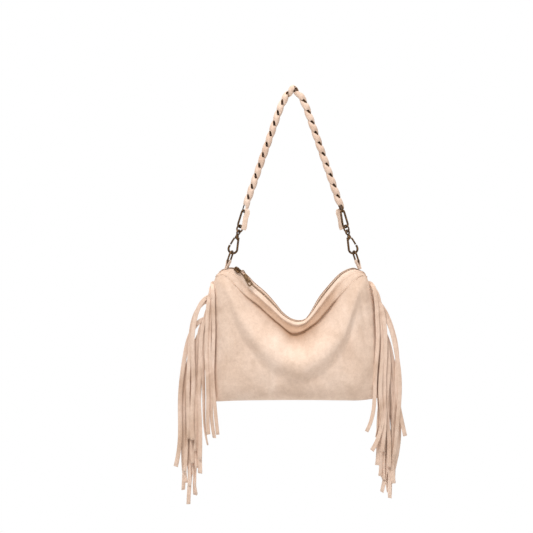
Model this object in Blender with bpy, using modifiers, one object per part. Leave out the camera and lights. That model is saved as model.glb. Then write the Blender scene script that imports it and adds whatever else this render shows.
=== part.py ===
"""Fringed suede shoulder bag, hanging from its laced chain strap.

Metres, +Z up. The origin is the hang point, at the underside of the strap's top bend.
-Y is the bag's front and +X its right side as seen from the front.
"""

import math
import random

import bmesh
import bpy
from mathutils import Matrix, Vector

MM = 0.001

# Clearances
GAP = 0.3 * MM

# Strap chain
LINK_PITCH = 20.2 * MM
LINK_WIRE = 2.2 * MM
LINK_WIDTH = 8.4 * MM
LINK_PLAY = 0.5 * MM
LINKS_PER_SIDE = 12
LINK_END_TWIST = 45.0
APEX_HEIGHT = 6.4 * MM
FIRST_LINK_LEAN = 42.0
SECOND_LINK_LEAN = 27.0
# The strap's own twist in degrees: at the top bend, then at the left and right ends
APEX_TWIST = 45.0
STRAP_TWIST = {-1: 0.0, 1: 25.0}
TWIST_RUN = 150.0 * MM

# Suede lacing wound round the chain
LACE_THICKNESS = 1.0 * MM
LACE_ROOM = 0.5 * MM
LACE_SPACING = 0.7 * MM
LACE_WINDOW = 8.5 * MM
LACE_WINDOW_HALF_ANGLE = 62.0
LACE_SAMPLES = 9
LACE_APEX_NARROWING = 4.6 * MM
LACE_APEX_BULGE = 2.2 * MM
LACE_BULGE_REACH = 8.0 * MM
APEX_RADIUS = 7.2 * MM
LEAN_RADIUS = 30.0 * MM

# Fittings at each end of the strap
HANGER_HALF_SPAN = 111.7 * MM
END_LINK_LENGTH = 30.4 * MM
END_LINK_WIDTH = 12.6 * MM
END_LINK_WIRE = 2.6 * MM
END_LINK_OFFSET = 3.0 * MM
STRAP_RING_RADIUS = 5.9 * MM
STRAP_RING_WIRE = 2.2 * MM
TAIL_WIDTH = 7.0 * MM
TAIL_THICKNESS = 1.1 * MM
TAIL_LENGTH = 31.0 * MM

# Snap hooks
HOOK_WIRE = 3.0 * MM
HOOK_LENGTH = 32.0 * MM
HOOK_HALF_WIDTH = 7.4 * MM
HOOK_BEND_HEIGHT = 7.6 * MM
NECK_HALF_WIDTH = 2.7 * MM
COLLAR_RADIUS = 2.9 * MM
COLLAR_HEIGHT = 4.0 * MM
EYE_WIRE = 2.4 * MM
EYE_RADIUS = 3.6 * MM
STEM_RADIUS = 1.0 * MM
GATE_WIRE = 2.2 * MM
GATE_SLOT = 0.4 * MM

# D-rings and the tabs that hold them
D_RING_WIRE = 2.6 * MM
D_RING_WIDTH = 17.0 * MM
D_RING_LENGTH = 22.0 * MM
D_RING_YAW = 20.0
TAB_WIDTH = 11.0 * MM
TAB_THICKNESS = 1.4 * MM
TAB_LENGTH = 15.0 * MM

# Bag body
SUEDE = 1.4 * MM
BOTTOM_WIDTH = 297.0 * MM
BOTTOM_SHIFT = 7.0 * MM
CORNER_REACH = 4.0 * MM
TAB_SEAT = 1.3 * MM
SIDE_HEIGHT = 240.0 * MM
SAG = 98.0 * MM
SAG_SHIFT = 6.0 * MM
SIDE_SWELL = 5.0 * MM
SHOULDER_SWELL = 14.0 * MM
HALF_DEPTH = 40.0 * MM
CREASE_HALF_DEPTH = 21.0 * MM
BAND_HEIGHT = 21.0 * MM
BAND_ROLL = 5.0 * MM
PANEL_COLUMNS = 16
PANEL_ROWS = 9

# Lining
LINING_THICKNESS = 0.5 * MM
LINING_ROOM = 0.7 * MM
LINING_COLUMNS = 10
LINING_ROWS = 5
LINING_LOW = 0.05
LINING_LIFT = 6.0 * MM
LINING_HIGH = 0.93

# Zip
ZIP_SLOT = 5.2 * MM
COIL_WIDTH = 1.5 * MM
COIL_HEIGHT = 1.7 * MM
COIL_SLIT = 1.5 * MM
TAPE_THICKNESS = 0.5 * MM
TAPE_WIDTH = 5.0 * MM
TAPE_DROP = 0.8 * MM
SLIDER_LENGTH = 11.0 * MM
SLIDER_WIDTH = 8.0 * MM
SLIDER_PLATE = 1.1 * MM
PULLER_LENGTH = 27.0 * MM
PULLER_WIDTH = 6.5 * MM
PULLER_THICKNESS = 1.3 * MM
PULLER_HOLE = 4.6 * MM
EYE_BAR = 1.3 * MM
EYE_SLOT = 5.0 * MM
STOP_LENGTH = 3.0 * MM
STOP_THICKNESS = 1.0 * MM

# Fringe
STRIPS = 20
STRIP_WIDTH = 7.6 * MM
STRIP_THICKNESS = 1.2 * MM
STRIP_PITCH = 7.6 * MM
STRIP_LENGTH = 278.0 * MM
STRIP_SEGMENTS = 8
FRINGE_START = 30.0 * MM
HEADER_WIDTH = 3.0 * MM
HEADER_TUCK = 2.0 * MM
ROOT_NARROWING = 0.5 * MM
# Strips hang in layers in front of the seam and behind it by turns, the highest strips outermost
LAST_LAYER = 2.0 * MM
LAYER_STEP = 1.6 * MM

SUEDE_COLOUR = (0.80, 0.60, 0.47, 1.0)
SUEDE_INSIDE = (0.72, 0.55, 0.43, 1.0)
TAPE_COLOUR = (0.76, 0.60, 0.48, 1.0)
BRONZE = (0.10, 0.065, 0.035, 1.0)

X_AXIS = Vector((1.0, 0.0, 0.0))
Y_AXIS = Vector((0.0, 1.0, 0.0))
Z_AXIS = Vector((0.0, 0.0, 1.0))


# Scene set-up and small helpers

def clear_scene():
    for obj in list(bpy.data.objects):
        bpy.data.objects.remove(obj, do_unlink=True)


def new_collection(name):
    collection = bpy.data.collections.new(name)
    bpy.context.scene.collection.children.link(collection)
    return collection


def material(name, colour, roughness, metallic=0.0):
    mat = bpy.data.materials.new(name)
    mat.use_nodes = True
    shader = mat.node_tree.nodes["Principled BSDF"]
    shader.inputs["Base Color"].default_value = colour
    shader.inputs["Roughness"].default_value = roughness
    shader.inputs["Metallic"].default_value = metallic
    return mat


def finish(obj, mat, smooth=True, parent=None):
    """Gives an object its material, shading and place in the parts collection."""
    obj.data.materials.append(mat)
    PARTS.objects.link(obj)
    if smooth and obj.type == "MESH":
        obj.data.shade_smooth()
        obj.data.set_sharp_from_angle(angle=math.radians(50))
    if parent is not None:
        obj.parent = parent
    return obj


def mesh_object(name, bm):
    mesh = bpy.data.meshes.new(name)
    bm.to_mesh(mesh)
    bm.free()
    return bpy.data.objects.new(name, mesh)


def add_empty(name, location, rotation, parent=None):
    empty = bpy.data.objects.new(name, None)
    PARTS.objects.link(empty)
    empty.location = location
    empty.rotation_euler = rotation
    if parent is not None:
        empty.parent = parent
    return empty


def wire_object(name, points, radius, closed, sides_level=1):
    """A round wire along the points, as a curve with a bevel and filled caps."""
    curve = bpy.data.curves.new(name, "CURVE")
    curve.dimensions = "3D"
    curve.bevel_depth = radius
    curve.bevel_resolution = sides_level
    curve.use_fill_caps = not closed
    spline = curve.splines.new("POLY")
    spline.points.add(len(points) - 1)
    for item, point in zip(spline.points, points):
        item.co = (point[0], point[1], point[2], 1.0)
    spline.use_cyclic_u = closed
    for face in (spline,):
        face.use_smooth = True
    return bpy.data.objects.new(name, curve)


def to_mesh(obj):
    """Turns a curve object into a mesh object with its caps welded."""
    graph = bpy.context.evaluated_depsgraph_get()
    bpy.context.scene.collection.objects.link(obj)
    bpy.context.view_layer.update()
    graph = bpy.context.evaluated_depsgraph_get()
    mesh = bpy.data.meshes.new_from_object(obj.evaluated_get(graph))
    name = obj.name
    matrix = obj.matrix_world.copy()
    bpy.data.objects.remove(obj, do_unlink=True)
    bm = bmesh.new()
    bm.from_mesh(mesh)
    bmesh.ops.remove_doubles(bm, verts=bm.verts, dist=1e-6)
    bmesh.ops.recalc_face_normals(bm, faces=bm.faces)
    bm.to_mesh(mesh)
    bm.free()
    made = bpy.data.objects.new(name, mesh)
    made.matrix_world = matrix
    return made


def grid_surface(name, rows, closed_rows=False):
    """An open surface through a table of points, row by row."""
    bm = bmesh.new()
    verts = [[bm.verts.new(point) for point in row] for row in rows]
    for low, high in zip(verts, verts[1:]):
        count = len(low) if closed_rows else len(low) - 1
        for i in range(count):
            j = (i + 1) % len(low)
            bm.faces.new((low[i], low[j], high[j], high[i]))
    return mesh_object(name, bm)


def thicken(obj, thickness, offset):
    solid = obj.modifiers.new("thickness", "SOLIDIFY")
    solid.thickness = thickness
    solid.offset = offset
    solid.use_even_offset = False
    return obj


def box_mesh(bm, size, centre):
    matrix = Matrix.Translation(centre) @ Matrix.Diagonal((*size, 1.0))
    bmesh.ops.create_cube(bm, size=1.0, matrix=matrix)


def union(target, tool):
    """Joins a hidden tool object to the target."""
    CUTTERS.objects.link(tool)
    tool.hide_render = True
    tool.display_type = "WIRE"
    joined = target.modifiers.new("join " + tool.name, "BOOLEAN")
    joined.operation = "UNION"
    joined.object = tool
    return tool


def cut(target, tool):
    CUTTERS.objects.link(tool)
    tool.hide_render = True
    tool.display_type = "WIRE"
    hole = target.modifiers.new("cut " + tool.name, "BOOLEAN")
    hole.operation = "DIFFERENCE"
    hole.object = tool
    return tool


def smooth_step(value):
    value = min(1.0, max(0.0, value))
    return value * value * (3.0 - 2.0 * value)


def through(stations, x):
    """Reads a smooth curve through (x, value) stations."""
    if x <= stations[0][0]:
        return stations[0][1]
    if x >= stations[-1][0]:
        return stations[-1][1]
    last = len(stations) - 1
    for i in range(last):
        if x <= stations[i + 1][0]:
            break
    x0, v0 = stations[i]
    x1, v1 = stations[i + 1]

    def slope(k):
        low = max(0, k - 1)
        high = min(last, k + 1)
        return (stations[high][1] - stations[low][1]) / (stations[high][0] - stations[low][0])

    h = x1 - x0
    t = (x - x0) / h
    a = (1.0 + 2.0 * t) * (1.0 - t) ** 2
    b = t * (1.0 - t) ** 2
    c = t * t * (3.0 - 2.0 * t)
    d = t * t * (t - 1.0)
    return a * v0 + b * h * slope(i) + c * v1 + d * h * slope(i + 1)


# Strap line: joints of the chain, then the straight line down to the hook bar

def lean(side, degrees):
    angle = math.radians(degrees)
    return Vector((side * math.sin(angle), 0.0, -math.cos(angle)))


EYE_CENTRE = HOOK_LENGTH + COLLAR_HEIGHT + EYE_RADIUS
EYE_TOP = EYE_CENTRE + EYE_RADIUS
RING_CENTRE = EYE_TOP - (EYE_WIRE + STRAP_RING_WIRE) / 2.0 - GAP + STRAP_RING_RADIUS
RING_TOP = RING_CENTRE + STRAP_RING_RADIUS
END_LINK_FOOT = RING_TOP - (STRAP_RING_WIRE + END_LINK_WIRE) / 2.0 - GAP
END_LINK_TOP = END_LINK_FOOT + END_LINK_LENGTH
LAST_JOINT = END_LINK_TOP - (END_LINK_WIRE + LINK_PLAY) / 2.0

D_RING_TOP = (HOOK_WIRE + D_RING_WIRE) / 2.0 + GAP
D_RING_BAR = D_RING_TOP - (D_RING_LENGTH - D_RING_WIRE)
TAB_DEPTH = TAB_LENGTH - D_RING_BAR

APEX = Vector((0.0, 0.0, APEX_HEIGHT))
STRAIGHT = (LINKS_PER_SIDE - 2) * LINK_PITCH
# At the top bend the right link hangs over the left one's end, so it sits this much higher.
APEX_STAGGER = (LINK_WIRE + LINK_PLAY) * math.cos(math.radians(FIRST_LINK_LEAN))


def leg_line():
    """Hanger point and direction up the straight part of the right leg."""
    second = APEX + LINK_PITCH * (lean(1, FIRST_LINK_LEAN) + lean(1, SECOND_LINK_LEAN))
    across = HANGER_HALF_SPAN - second.x
    length = STRAIGHT + LAST_JOINT
    drop = math.sqrt(length * length - across * across)
    hanger = second + Vector((across, 0.0, -drop))
    return hanger, (second - hanger).normalized()


HANGER, LEG_UP = leg_line()


def side_of(point, side):
    return Vector((side * point.x, point.y, point.z))


def chain_joints(side):
    """Points where the links of one leg meet, from the apex down to the end link."""
    joints = [APEX + Z_AXIS * (side * APEX_STAGGER / 2.0)]
    joints.append(joints[-1] + LINK_PITCH * lean(side, FIRST_LINK_LEAN))
    joints.append(joints[-1] + LINK_PITCH * lean(side, SECOND_LINK_LEAN))
    outward = Vector((LEG_UP.z, 0.0, -LEG_UP.x))
    foot = side_of(HANGER + LEG_UP * LAST_JOINT + outward * END_LINK_OFFSET, side)
    step = (foot - joints[-1]) / (LINKS_PER_SIDE - 2)
    for _ in range(LINKS_PER_SIDE - 2):
        joints.append(joints[-1] + step)
    return joints


LEFT_JOINTS = chain_joints(-1)
RIGHT_JOINTS = chain_joints(1)
STRAP_LINE = LEFT_JOINTS[:0:-1] + [APEX] + RIGHT_JOINTS[1:]


def rounded_line(points, radii, step):
    """The polyline with each corner rounded, sampled evenly. Returns points and lengths."""
    path = [points[0]]
    for i in range(1, len(points) - 1):
        corner = points[i]
        back = (points[i - 1] - corner).normalized()
        ahead = (points[i + 1] - corner).normalized()
        turn = math.pi - back.angle(ahead)
        if turn < 1e-4:
            path.append(corner)
            continue
        reach = radii[i] * math.tan(turn / 2.0)
        bisector = (back + ahead).normalized()
        centre = corner + bisector * (radii[i] / math.cos(turn / 2.0))
        start = corner + back * reach
        arm = start - centre
        axis = back.cross(ahead).normalized()
        count = max(2, int(turn * radii[i] / step) + 1)
        for k in range(count + 1):
            path.append(centre + Matrix.Rotation(-turn * k / count, 3, axis) @ arm)
    path.append(points[-1])
    return path


class Line:
    """A path measured by length from its middle point."""

    def __init__(self, points, zero):
        self.points = points
        self.at = [0.0]
        for a, b in zip(points, points[1:]):
            self.at.append(self.at[-1] + (b - a).length)
        best = min(range(len(points)), key=lambda i: (points[i] - zero).length)
        shift = self.at[best]
        self.at = [value - shift for value in self.at]

    def read(self, s):
        at = self.at
        i = 0
        if s >= at[-1]:
            i = len(at) - 2
        else:
            while i < len(at) - 2 and at[i + 1] < s:
                i += 1
        span = at[i + 1] - at[i]
        t = (s - at[i]) / span
        return self.points[i].lerp(self.points[i + 1], t)

    def tangent(self, s, width=0.6 * MM):
        return (self.read(s + width) - self.read(s - width)).normalized()


def strap_line():
    radii = [LEAN_RADIUS] * len(STRAP_LINE)
    radii[LINKS_PER_SIDE] = APEX_RADIUS
    path = rounded_line(STRAP_LINE, radii, 1.2 * MM)
    top = APEX - Z_AXIS * (APEX_RADIUS * (1.0 / math.cos(apex_turn() / 2.0) - 1.0))
    return Line(path, top)


def apex_turn():
    return math.pi - (lean(-1, FIRST_LINK_LEAN)).angle(lean(1, FIRST_LINK_LEAN))


def strap_twist(s):
    share = smooth_step(abs(s) / TWIST_RUN)
    end = STRAP_TWIST[-1 if s < 0.0 else 1]
    return math.radians(APEX_TWIST + (end - APEX_TWIST) * share)


# Chain links: ovals twisted end to end, so that each hooks the next at right angles

def link_points(pitch, width, wire, end_twist):
    half = (pitch + wire + LINK_PLAY) / 2.0
    radius = (width - wire) / 2.0
    flat = half - radius
    points = []
    for end in (1, -1):
        for k in range(5):
            angle = math.radians(90.0 - 45.0 * k)
            across = end * radius * math.sin(angle)
            along = end * (flat + radius * math.cos(angle))
            twist = math.radians(end_twist) * along / half
            points.append(Vector((across * math.cos(twist), across * math.sin(twist), along)))
    return points


def place_on(a, b, twist):
    """Matrix whose +Z runs from a to b and whose +X is the outer side, turned to the front by the twist."""
    along = (b - a).normalized()
    outer = along.cross(Y_AXIS).normalized()
    if outer.z < 0.0:
        outer = -outer
    front = along.cross(outer)
    x_dir = outer * math.cos(twist) + front * math.sin(twist)
    matrix = Matrix((x_dir, along.cross(x_dir), along)).transposed().to_4x4()
    matrix.translation = (a + b) / 2.0
    return matrix


CHAIN_SPANS = list(zip(LEFT_JOINTS[:0:-1], LEFT_JOINTS[-2::-1])) + list(zip(RIGHT_JOINTS, RIGHT_JOINTS[1:]))
LINK_POINTS = link_points(LINK_PITCH, LINK_WIDTH, LINK_WIRE, LINK_END_TWIST)


def link_matrix(i):
    a, b = CHAIN_SPANS[i]
    return place_on(a, b, strap_twist((i + 0.5 - LINKS_PER_SIDE) * LINK_PITCH))


def build_chain():
    for i in range(len(CHAIN_SPANS)):
        link = wire_object("strap_link_%02d" % (i + 1), LINK_POINTS, LINK_WIRE / 2.0, True)
        link.matrix_world = link_matrix(i)
        finish(link, METAL)


# Lacing: a suede strip wound round the chain, one turn a link, open over each link's outer side

def lace_half_width(theta, s):
    away = abs(math.remainder(theta, 2.0 * math.pi))
    half_angle = math.radians(LACE_WINDOW_HALF_ANGLE)
    window = 0.0
    if away < half_angle:
        window = math.cos(math.pi * away / (2.0 * half_angle)) ** 2
    gap = LACE_SPACING + (LACE_WINDOW - LACE_SPACING) * window
    narrowing = LACE_APEX_NARROWING * math.exp(-((s / (0.65 * LINK_PITCH)) ** 2))
    return (LINK_PITCH - gap) / 2.0 - narrowing


def lace_point(line, s, theta):
    """A point of the lace's middle surface; theta runs from the outer side to the front."""
    centre = line.read(s)
    along = line.tangent(s)
    outer = Y_AXIS.cross(along)
    if outer.z < 0.0:
        outer = -outer
    front = -Y_AXIS
    angle = theta + strap_twist(s)
    radius = LINK_WIDTH / 2.0 + LACE_ROOM + LACE_THICKNESS / 2.0
    bulge = LACE_APEX_BULGE * math.exp(-((s / LACE_BULGE_REACH) ** 2)) * (0.5 + 0.5 * math.cos(angle))
    return centre + (outer * math.cos(angle) + front * math.sin(angle)) * (radius + bulge)


def build_lacing():
    line = strap_line()
    turns = LINKS_PER_SIDE - 0.5
    count = int(2 * turns * LACE_SAMPLES)
    rows = []
    for k in range(count + 1):
        turn = -turns + 2.0 * turns * k / count
        theta = -2.0 * math.pi * turn
        s_mid = turn * LINK_PITCH
        half = lace_half_width(theta, s_mid)
        rows.append([lace_point(line, s_mid + half * v, theta) for v in (-1.0, 0.0, 1.0)])
    lace = grid_surface("strap_lacing", rows)
    thicken(lace, LACE_THICKNESS, 0.0)
    finish(lace, SUEDE_MAT)
    # At the sharp top bend the two top links poke out between the turns of the lace.
    for i in (LINKS_PER_SIDE - 1, LINKS_PER_SIDE):
        room = to_mesh(wire_object("link_room_%02d" % (i + 1), LINK_POINTS, LINK_WIRE / 2.0 + GAP, True))
        room.matrix_world = link_matrix(i)
        cut(lace, room)


# Fittings on each leg, built with +Z up the leg and +X to the outer side

def leg_empty(side):
    up = side_of(LEG_UP, side)
    outward = X_AXIS * side
    outward = (outward - up * outward.dot(up)).normalized()
    empty = bpy.data.objects.new("left_leg" if side < 0 else "right_leg", None)
    PARTS.objects.link(empty)
    matrix = Matrix((outward, up.cross(outward), up)).transposed().to_4x4()
    matrix.translation = side_of(HANGER, side)
    empty.matrix_world = matrix
    return empty


def ring_points(radius, count):
    return [
        Vector((radius * math.sin(2.0 * math.pi * k / count), 0.0, radius * math.cos(2.0 * math.pi * k / count)))
        for k in range(count)
    ]


def oval_points(length, low_radius, top_radius, steps):
    """A pear-shaped loop in XZ standing on z = 0, its wide end low."""
    points = []
    for k in range(steps + 1):
        angle = math.pi * k / steps
        points.append(Vector((-low_radius * math.cos(angle), 0.0, low_radius * (1.0 - math.sin(angle)))))
    for k in range(steps + 1):
        angle = math.pi * k / steps
        points.append(Vector((top_radius * math.cos(angle), 0.0, length - top_radius * (1.0 - math.sin(angle)))))
    return points


def hook_outline():
    """Centre line of the hook wire, from its neck down the fixed leg and round to the nose."""
    r = HOOK_HALF_WIDTH
    top = HOOK_LENGTH
    points = [Vector((-NECK_HALF_WIDTH, 0.0, top - 1.5 * MM))]
    points.append(Vector((-NECK_HALF_WIDTH - 0.5 * MM, 0.0, 0.78 * top)))
    points.append(Vector((-r + 1.4 * MM, 0.0, 0.52 * top)))
    points.append(Vector((-r + 0.2 * MM, 0.0, 0.34 * top)))
    for k in range(9):
        angle = math.pi * k / 8.0
        points.append(Vector((-r * math.cos(angle), 0.0, HOOK_BEND_HEIGHT * (1.0 - math.sin(angle)))))
    points.append(Vector((r - 0.2 * MM, 0.0, 0.32 * top)))
    points.append(gate_tip() + Vector((0.3 * MM, 0.0, -1.0 * MM)))
    return points


def gate_tip():
    return Vector((HOOK_HALF_WIDTH - 1.1 * MM, 0.0, 0.42 * HOOK_LENGTH))


def gate_pivot():
    return Vector((NECK_HALF_WIDTH + 0.2 * MM, 0.0, HOOK_LENGTH - 4.0 * MM))


def build_fittings(side):
    prefix = "left_" if side < 0 else "right_"
    leg = leg_empty(side)

    end_link = wire_object(
        prefix + "end_link",
        oval_points(END_LINK_LENGTH, (END_LINK_WIDTH - END_LINK_WIRE) / 2.0, (LINK_WIDTH - LINK_WIRE) / 2.0, 5),
        END_LINK_WIRE / 2.0, True,
    )
    tilt = math.atan2(END_LINK_OFFSET, END_LINK_LENGTH)
    end_link.matrix_local = (
        Matrix.Translation((0.0, 0.0, END_LINK_FOOT))
        @ Matrix.Rotation(tilt, 4, "Y")
        @ Matrix.Rotation(math.radians(END_TURN[side]), 4, "Z")
    )
    finish(end_link, METAL, parent=leg)

    ring = wire_object(prefix + "strap_ring", ring_points(STRAP_RING_RADIUS, 14), STRAP_RING_WIRE / 2.0, True)
    ring.matrix_local = Matrix.Translation((0.0, 0.0, RING_CENTRE)) @ Matrix.Rotation(
        math.radians(RING_TURN[side]), 4, "Z")
    finish(ring, METAL, parent=leg)

    build_eye(prefix, leg, side)
    build_hook(prefix, leg)
    build_d_ring(prefix, leg, side)
    build_tail(prefix, leg, side)


# Turns about the leg, in degrees: each fitting hangs nearly square to the one above it
END_TURN = {side: 90.0 - LINK_END_TWIST - side * STRAP_TWIST[side] for side in (-1, 1)}
RING_TURN = {side: END_TURN[side] - 85.0 for side in (-1, 1)}
EYE_TURN = {side: RING_TURN[side] + 90.0 for side in (-1, 1)}
D_TURN = {side: side * D_RING_YAW for side in (-1, 1)}


def build_eye(prefix, leg, side):
    """Swivel eye: a loop on a stem whose head sits inside the hook's collar."""
    eye = to_mesh(wire_object(prefix + "swivel_eye", ring_points(EYE_RADIUS, 12), EYE_WIRE / 2.0, True))
    stem_top = -EYE_RADIUS + 0.2 * MM
    stem_low = HOOK_LENGTH - EYE_CENTRE - 0.6 * MM
    bm = bmesh.new()
    bmesh.ops.create_cone(
        bm, cap_ends=True, segments=10, radius1=STEM_RADIUS, radius2=STEM_RADIUS,
        depth=stem_top - stem_low,
        matrix=Matrix.Translation((0.0, 0.0, (stem_top + stem_low) / 2.0)),
    )
    stem = mesh_object(prefix + "eye_stem", bm)
    bm = bmesh.new()
    head = 1.2 * MM
    bmesh.ops.create_cone(
        bm, cap_ends=True, segments=10, radius1=STEM_RADIUS + 0.9 * MM, radius2=STEM_RADIUS + 0.9 * MM,
        depth=head, matrix=Matrix.Translation((0.0, 0.0, stem_low - head / 2.0 + 0.1 * MM)),
    )
    cap = mesh_object(prefix + "eye_head", bm)
    placed = Matrix.Translation((0.0, 0.0, EYE_CENTRE)) @ Matrix.Rotation(
        math.radians(EYE_TURN[side]), 4, "Z")
    finish(eye, METAL, parent=leg)
    eye.matrix_local = placed
    for tool in (stem, cap):
        union(eye, tool)
        tool.parent = leg
        tool.matrix_local = placed


def build_hook(prefix, leg):
    hook = to_mesh(wire_object(prefix + "hook", hook_outline(), HOOK_WIRE / 2.0, False, 2))
    finish(hook, METAL, parent=leg)
    # The collar holds the eye's head and leaves a bore for its stem.
    bm = bmesh.new()
    bmesh.ops.create_cone(
        bm, cap_ends=True, segments=16, radius1=COLLAR_RADIUS + 0.9 * MM, radius2=COLLAR_RADIUS,
        depth=COLLAR_HEIGHT + 3.4 * MM,
        matrix=Matrix.Translation((0.0, 0.0, HOOK_LENGTH + (COLLAR_HEIGHT - 3.4 * MM) / 2.0 - 1.2 * MM)),
    )
    collar = mesh_object(prefix + "collar", bm)
    # A flat web closes the hook's neck below the collar.
    bm = bmesh.new()
    web = [(-NECK_HALF_WIDTH - 0.6 * MM, -8.0), (NECK_HALF_WIDTH + 0.4 * MM, -3.2),
           (NECK_HALF_WIDTH + 0.2 * MM, -1.0), (-NECK_HALF_WIDTH, -1.0)]
    low = [bm.verts.new((x, -0.9 * MM, HOOK_LENGTH + z * MM)) for x, z in web]
    high = [bm.verts.new((x, 0.9 * MM, HOOK_LENGTH + z * MM)) for x, z in web]
    bm.faces.new(low[::-1])
    bm.faces.new(high)
    for i in range(4):
        j = (i + 1) % 4
        bm.faces.new((low[i], low[j], high[j], high[i]))
    bmesh.ops.recalc_face_normals(bm, faces=bm.faces)
    web_obj = mesh_object(prefix + "web", bm)
    bm = bmesh.new()
    stem_low = HOOK_LENGTH - 0.6 * MM
    bmesh.ops.create_cone(
        bm, cap_ends=True, segments=10, radius1=STEM_RADIUS + GAP, radius2=STEM_RADIUS + GAP,
        depth=8.0 * MM, matrix=Matrix.Translation((0.0, 0.0, HOOK_LENGTH + 3.4 * MM)),
    )
    bore = mesh_object(prefix + "stem_bore", bm)
    bm = bmesh.new()
    bmesh.ops.create_cube(
        bm, size=1.0,
        matrix=Matrix.Translation((0.0, 0.0, stem_low - 0.5 * MM))
        @ Matrix.Diagonal((2.0 * (STEM_RADIUS + 0.9 * MM + GAP), 20.0 * MM, 1.2 * MM + 2.0 * GAP, 1.0)),
    )
    chamber = mesh_object(prefix + "head_chamber", bm)
    for tool in (collar, web_obj):
        union(hook, tool)
        tool.parent = leg
    for tool in (bore, chamber):
        cut(hook, tool)
        tool.parent = leg

    # The gate closes the hook's outer side; it turns on its pivot in the neck.
    pivot, tip = gate_pivot(), gate_tip()
    run = (tip - pivot)
    direction = run.normalized()
    start = pivot + direction * 0.2 * MM
    end = tip - direction * 0.6 * MM
    gate = wire_object(prefix + "gate", [start, start.lerp(end, 0.5), end], GATE_WIRE / 2.0, False, 2)
    gate_empty = add_empty(prefix + "gate_axis", pivot, (0.0, 0.0, 0.0), leg)
    gate.location = -pivot
    finish(gate, METAL, parent=gate_empty)
    # Room for the gate's upper end in the neck.
    room = to_mesh(wire_object(
        prefix + "gate_room", [pivot - direction * 2.2 * MM, start.lerp(end, 0.5)],
        GATE_WIRE / 2.0 + GATE_SLOT, False, 2))
    cut(hook, room)
    room.parent = leg


def build_d_ring(prefix, leg, side):
    """D-ring hung on the hook bar, its straight bar low inside the suede tab."""
    top_wire, low = D_RING_TOP, D_RING_BAR
    half = (D_RING_WIDTH - D_RING_WIRE) / 2.0
    points = []
    for k in range(9):
        angle = math.pi * k / 8.0
        points.append(Vector((0.0, half * math.cos(angle), top_wire - half * (1.0 - math.sin(angle)))))
    corner = 1.6 * MM
    points.append(Vector((0.0, -half, low + corner)))
    points.append(Vector((0.0, -half + corner, low)))
    points.append(Vector((0.0, half - corner, low)))
    points.append(Vector((0.0, half, low + corner)))
    ring = wire_object(prefix + "d_ring", points, D_RING_WIRE / 2.0, True)
    ring.matrix_local = Matrix.Rotation(math.radians(D_TURN[side]), 4, "Z")
    finish(ring, METAL, parent=leg)

    # The tab folds over the bar, and both its ends are sewn into the bag's corner.
    inner = D_RING_WIRE / 2.0 + 1.8 * GAP
    radius = inner + TAB_THICKNESS / 2.0
    profile = []
    foot = -TAB_DEPTH
    profile.append((-TAB_THICKNESS * 0.5 - GAP, foot))
    profile.append((-TAB_THICKNESS * 0.5 - GAP - 0.3 * MM, low - 0.6 * TAB_LENGTH))
    for k in range(7):
        angle = math.pi * (1.0 - k / 6.0) * 1.0
        profile.append((radius * math.cos(angle), low + radius * math.sin(angle)))
    profile.append((TAB_THICKNESS * 0.5 + GAP + 0.3 * MM, low - 0.6 * TAB_LENGTH))
    profile.append((TAB_THICKNESS * 0.5 + GAP, foot))
    rows = [[Vector((x, y, z)) for y in (-TAB_WIDTH / 2.0, TAB_WIDTH / 2.0)] for x, z in profile]
    tab = grid_surface(prefix + "tab", rows)
    thicken(tab, TAB_THICKNESS, 0.0)
    tab.matrix_local = Matrix.Rotation(math.radians(D_TURN[side]), 4, "Z")
    finish(tab, SUEDE_MAT, parent=leg)



def build_tail(prefix, leg, side):
    """Tail of the lacing: a strip from the last turn of lace down to the strap ring."""
    foot = RING_CENTRE - 1.0 * MM
    top = foot + TAIL_LENGTH
    ring = STRAP_RING_RADIUS * math.cos(math.radians(RING_TURN[side])) + STRAP_RING_WIRE / 2.0
    half = (END_LINK_WIDTH - END_LINK_WIRE) / 2.0
    link = half * math.cos(math.radians(END_TURN[side])) + END_LINK_WIRE / 2.0
    x = -(max(ring, link) + TAIL_THICKNESS)
    profile = [(x, foot), (x, foot + 0.3 * TAIL_LENGTH), (x - 0.3 * MM, foot + 0.65 * TAIL_LENGTH), (x, top)]
    rows = [[Vector((px, y, pz)) for y in (-TAIL_WIDTH / 2.0, TAIL_WIDTH / 2.0)] for px, pz in profile]
    tail = grid_surface(prefix + "lace_tail", rows)
    thicken(tail, 2.0 * TAIL_THICKNESS, 0.0)
    finish(tail, SUEDE_MAT, parent=leg)


# Bag body

# The panels meet face to face at the bottom seam, and hold the fringe's header between them at the sides.
SEAM_HALF = GAP / 2.0 + SUEDE
SIDE_SEAM_HALF = SUEDE + GAP + STRIP_THICKNESS / 2.0
TAB_FOOT = HANGER - LEG_UP * TAB_DEPTH
CORNER_Z = TAB_FOOT.z - TAB_SEAT
TOP_WIDTH = 2.0 * (TAB_FOOT.x + CORNER_REACH)
BOTTOM_Z = CORNER_Z - SIDE_HEIGHT
# The sag of the top edge as a share of SAG, at shares of half the top width
SAG_SHAPE = (
    (-1.0, 0.0), (-0.94, 0.012), (-0.86, 0.094), (-0.60, 0.362), (-0.42, 0.548), (-0.34, 0.630), (-0.20, 0.79),
    (-0.10, 0.91), (0.0, 0.985), (0.10, 1.0), (0.22, 0.90), (0.34, 0.66), (0.48, 0.41), (0.62, 0.19),
    (0.78, 0.04), (1.0, 0.0),
)
# How far the crease lies below the zip, as a share of BAND_HEIGHT
BAND_SHAPE = (
    (-1.0, 0.25), (-0.8, 0.85), (-0.5, 1.25), (-0.2, 1.1), (0.0, 0.9), (0.25, 0.75), (0.5, 1.25),
    (0.8, 0.9), (1.0, 0.25),
)


def zip_height(v):
    """Height of the zip's centre at v, from -1 at the left corner to 1 at the right one."""
    return CORNER_Z - SAG * through(SAG_SHAPE, v)


def zip_x(v):
    return v * (TOP_WIDTH / 2.0)


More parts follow.
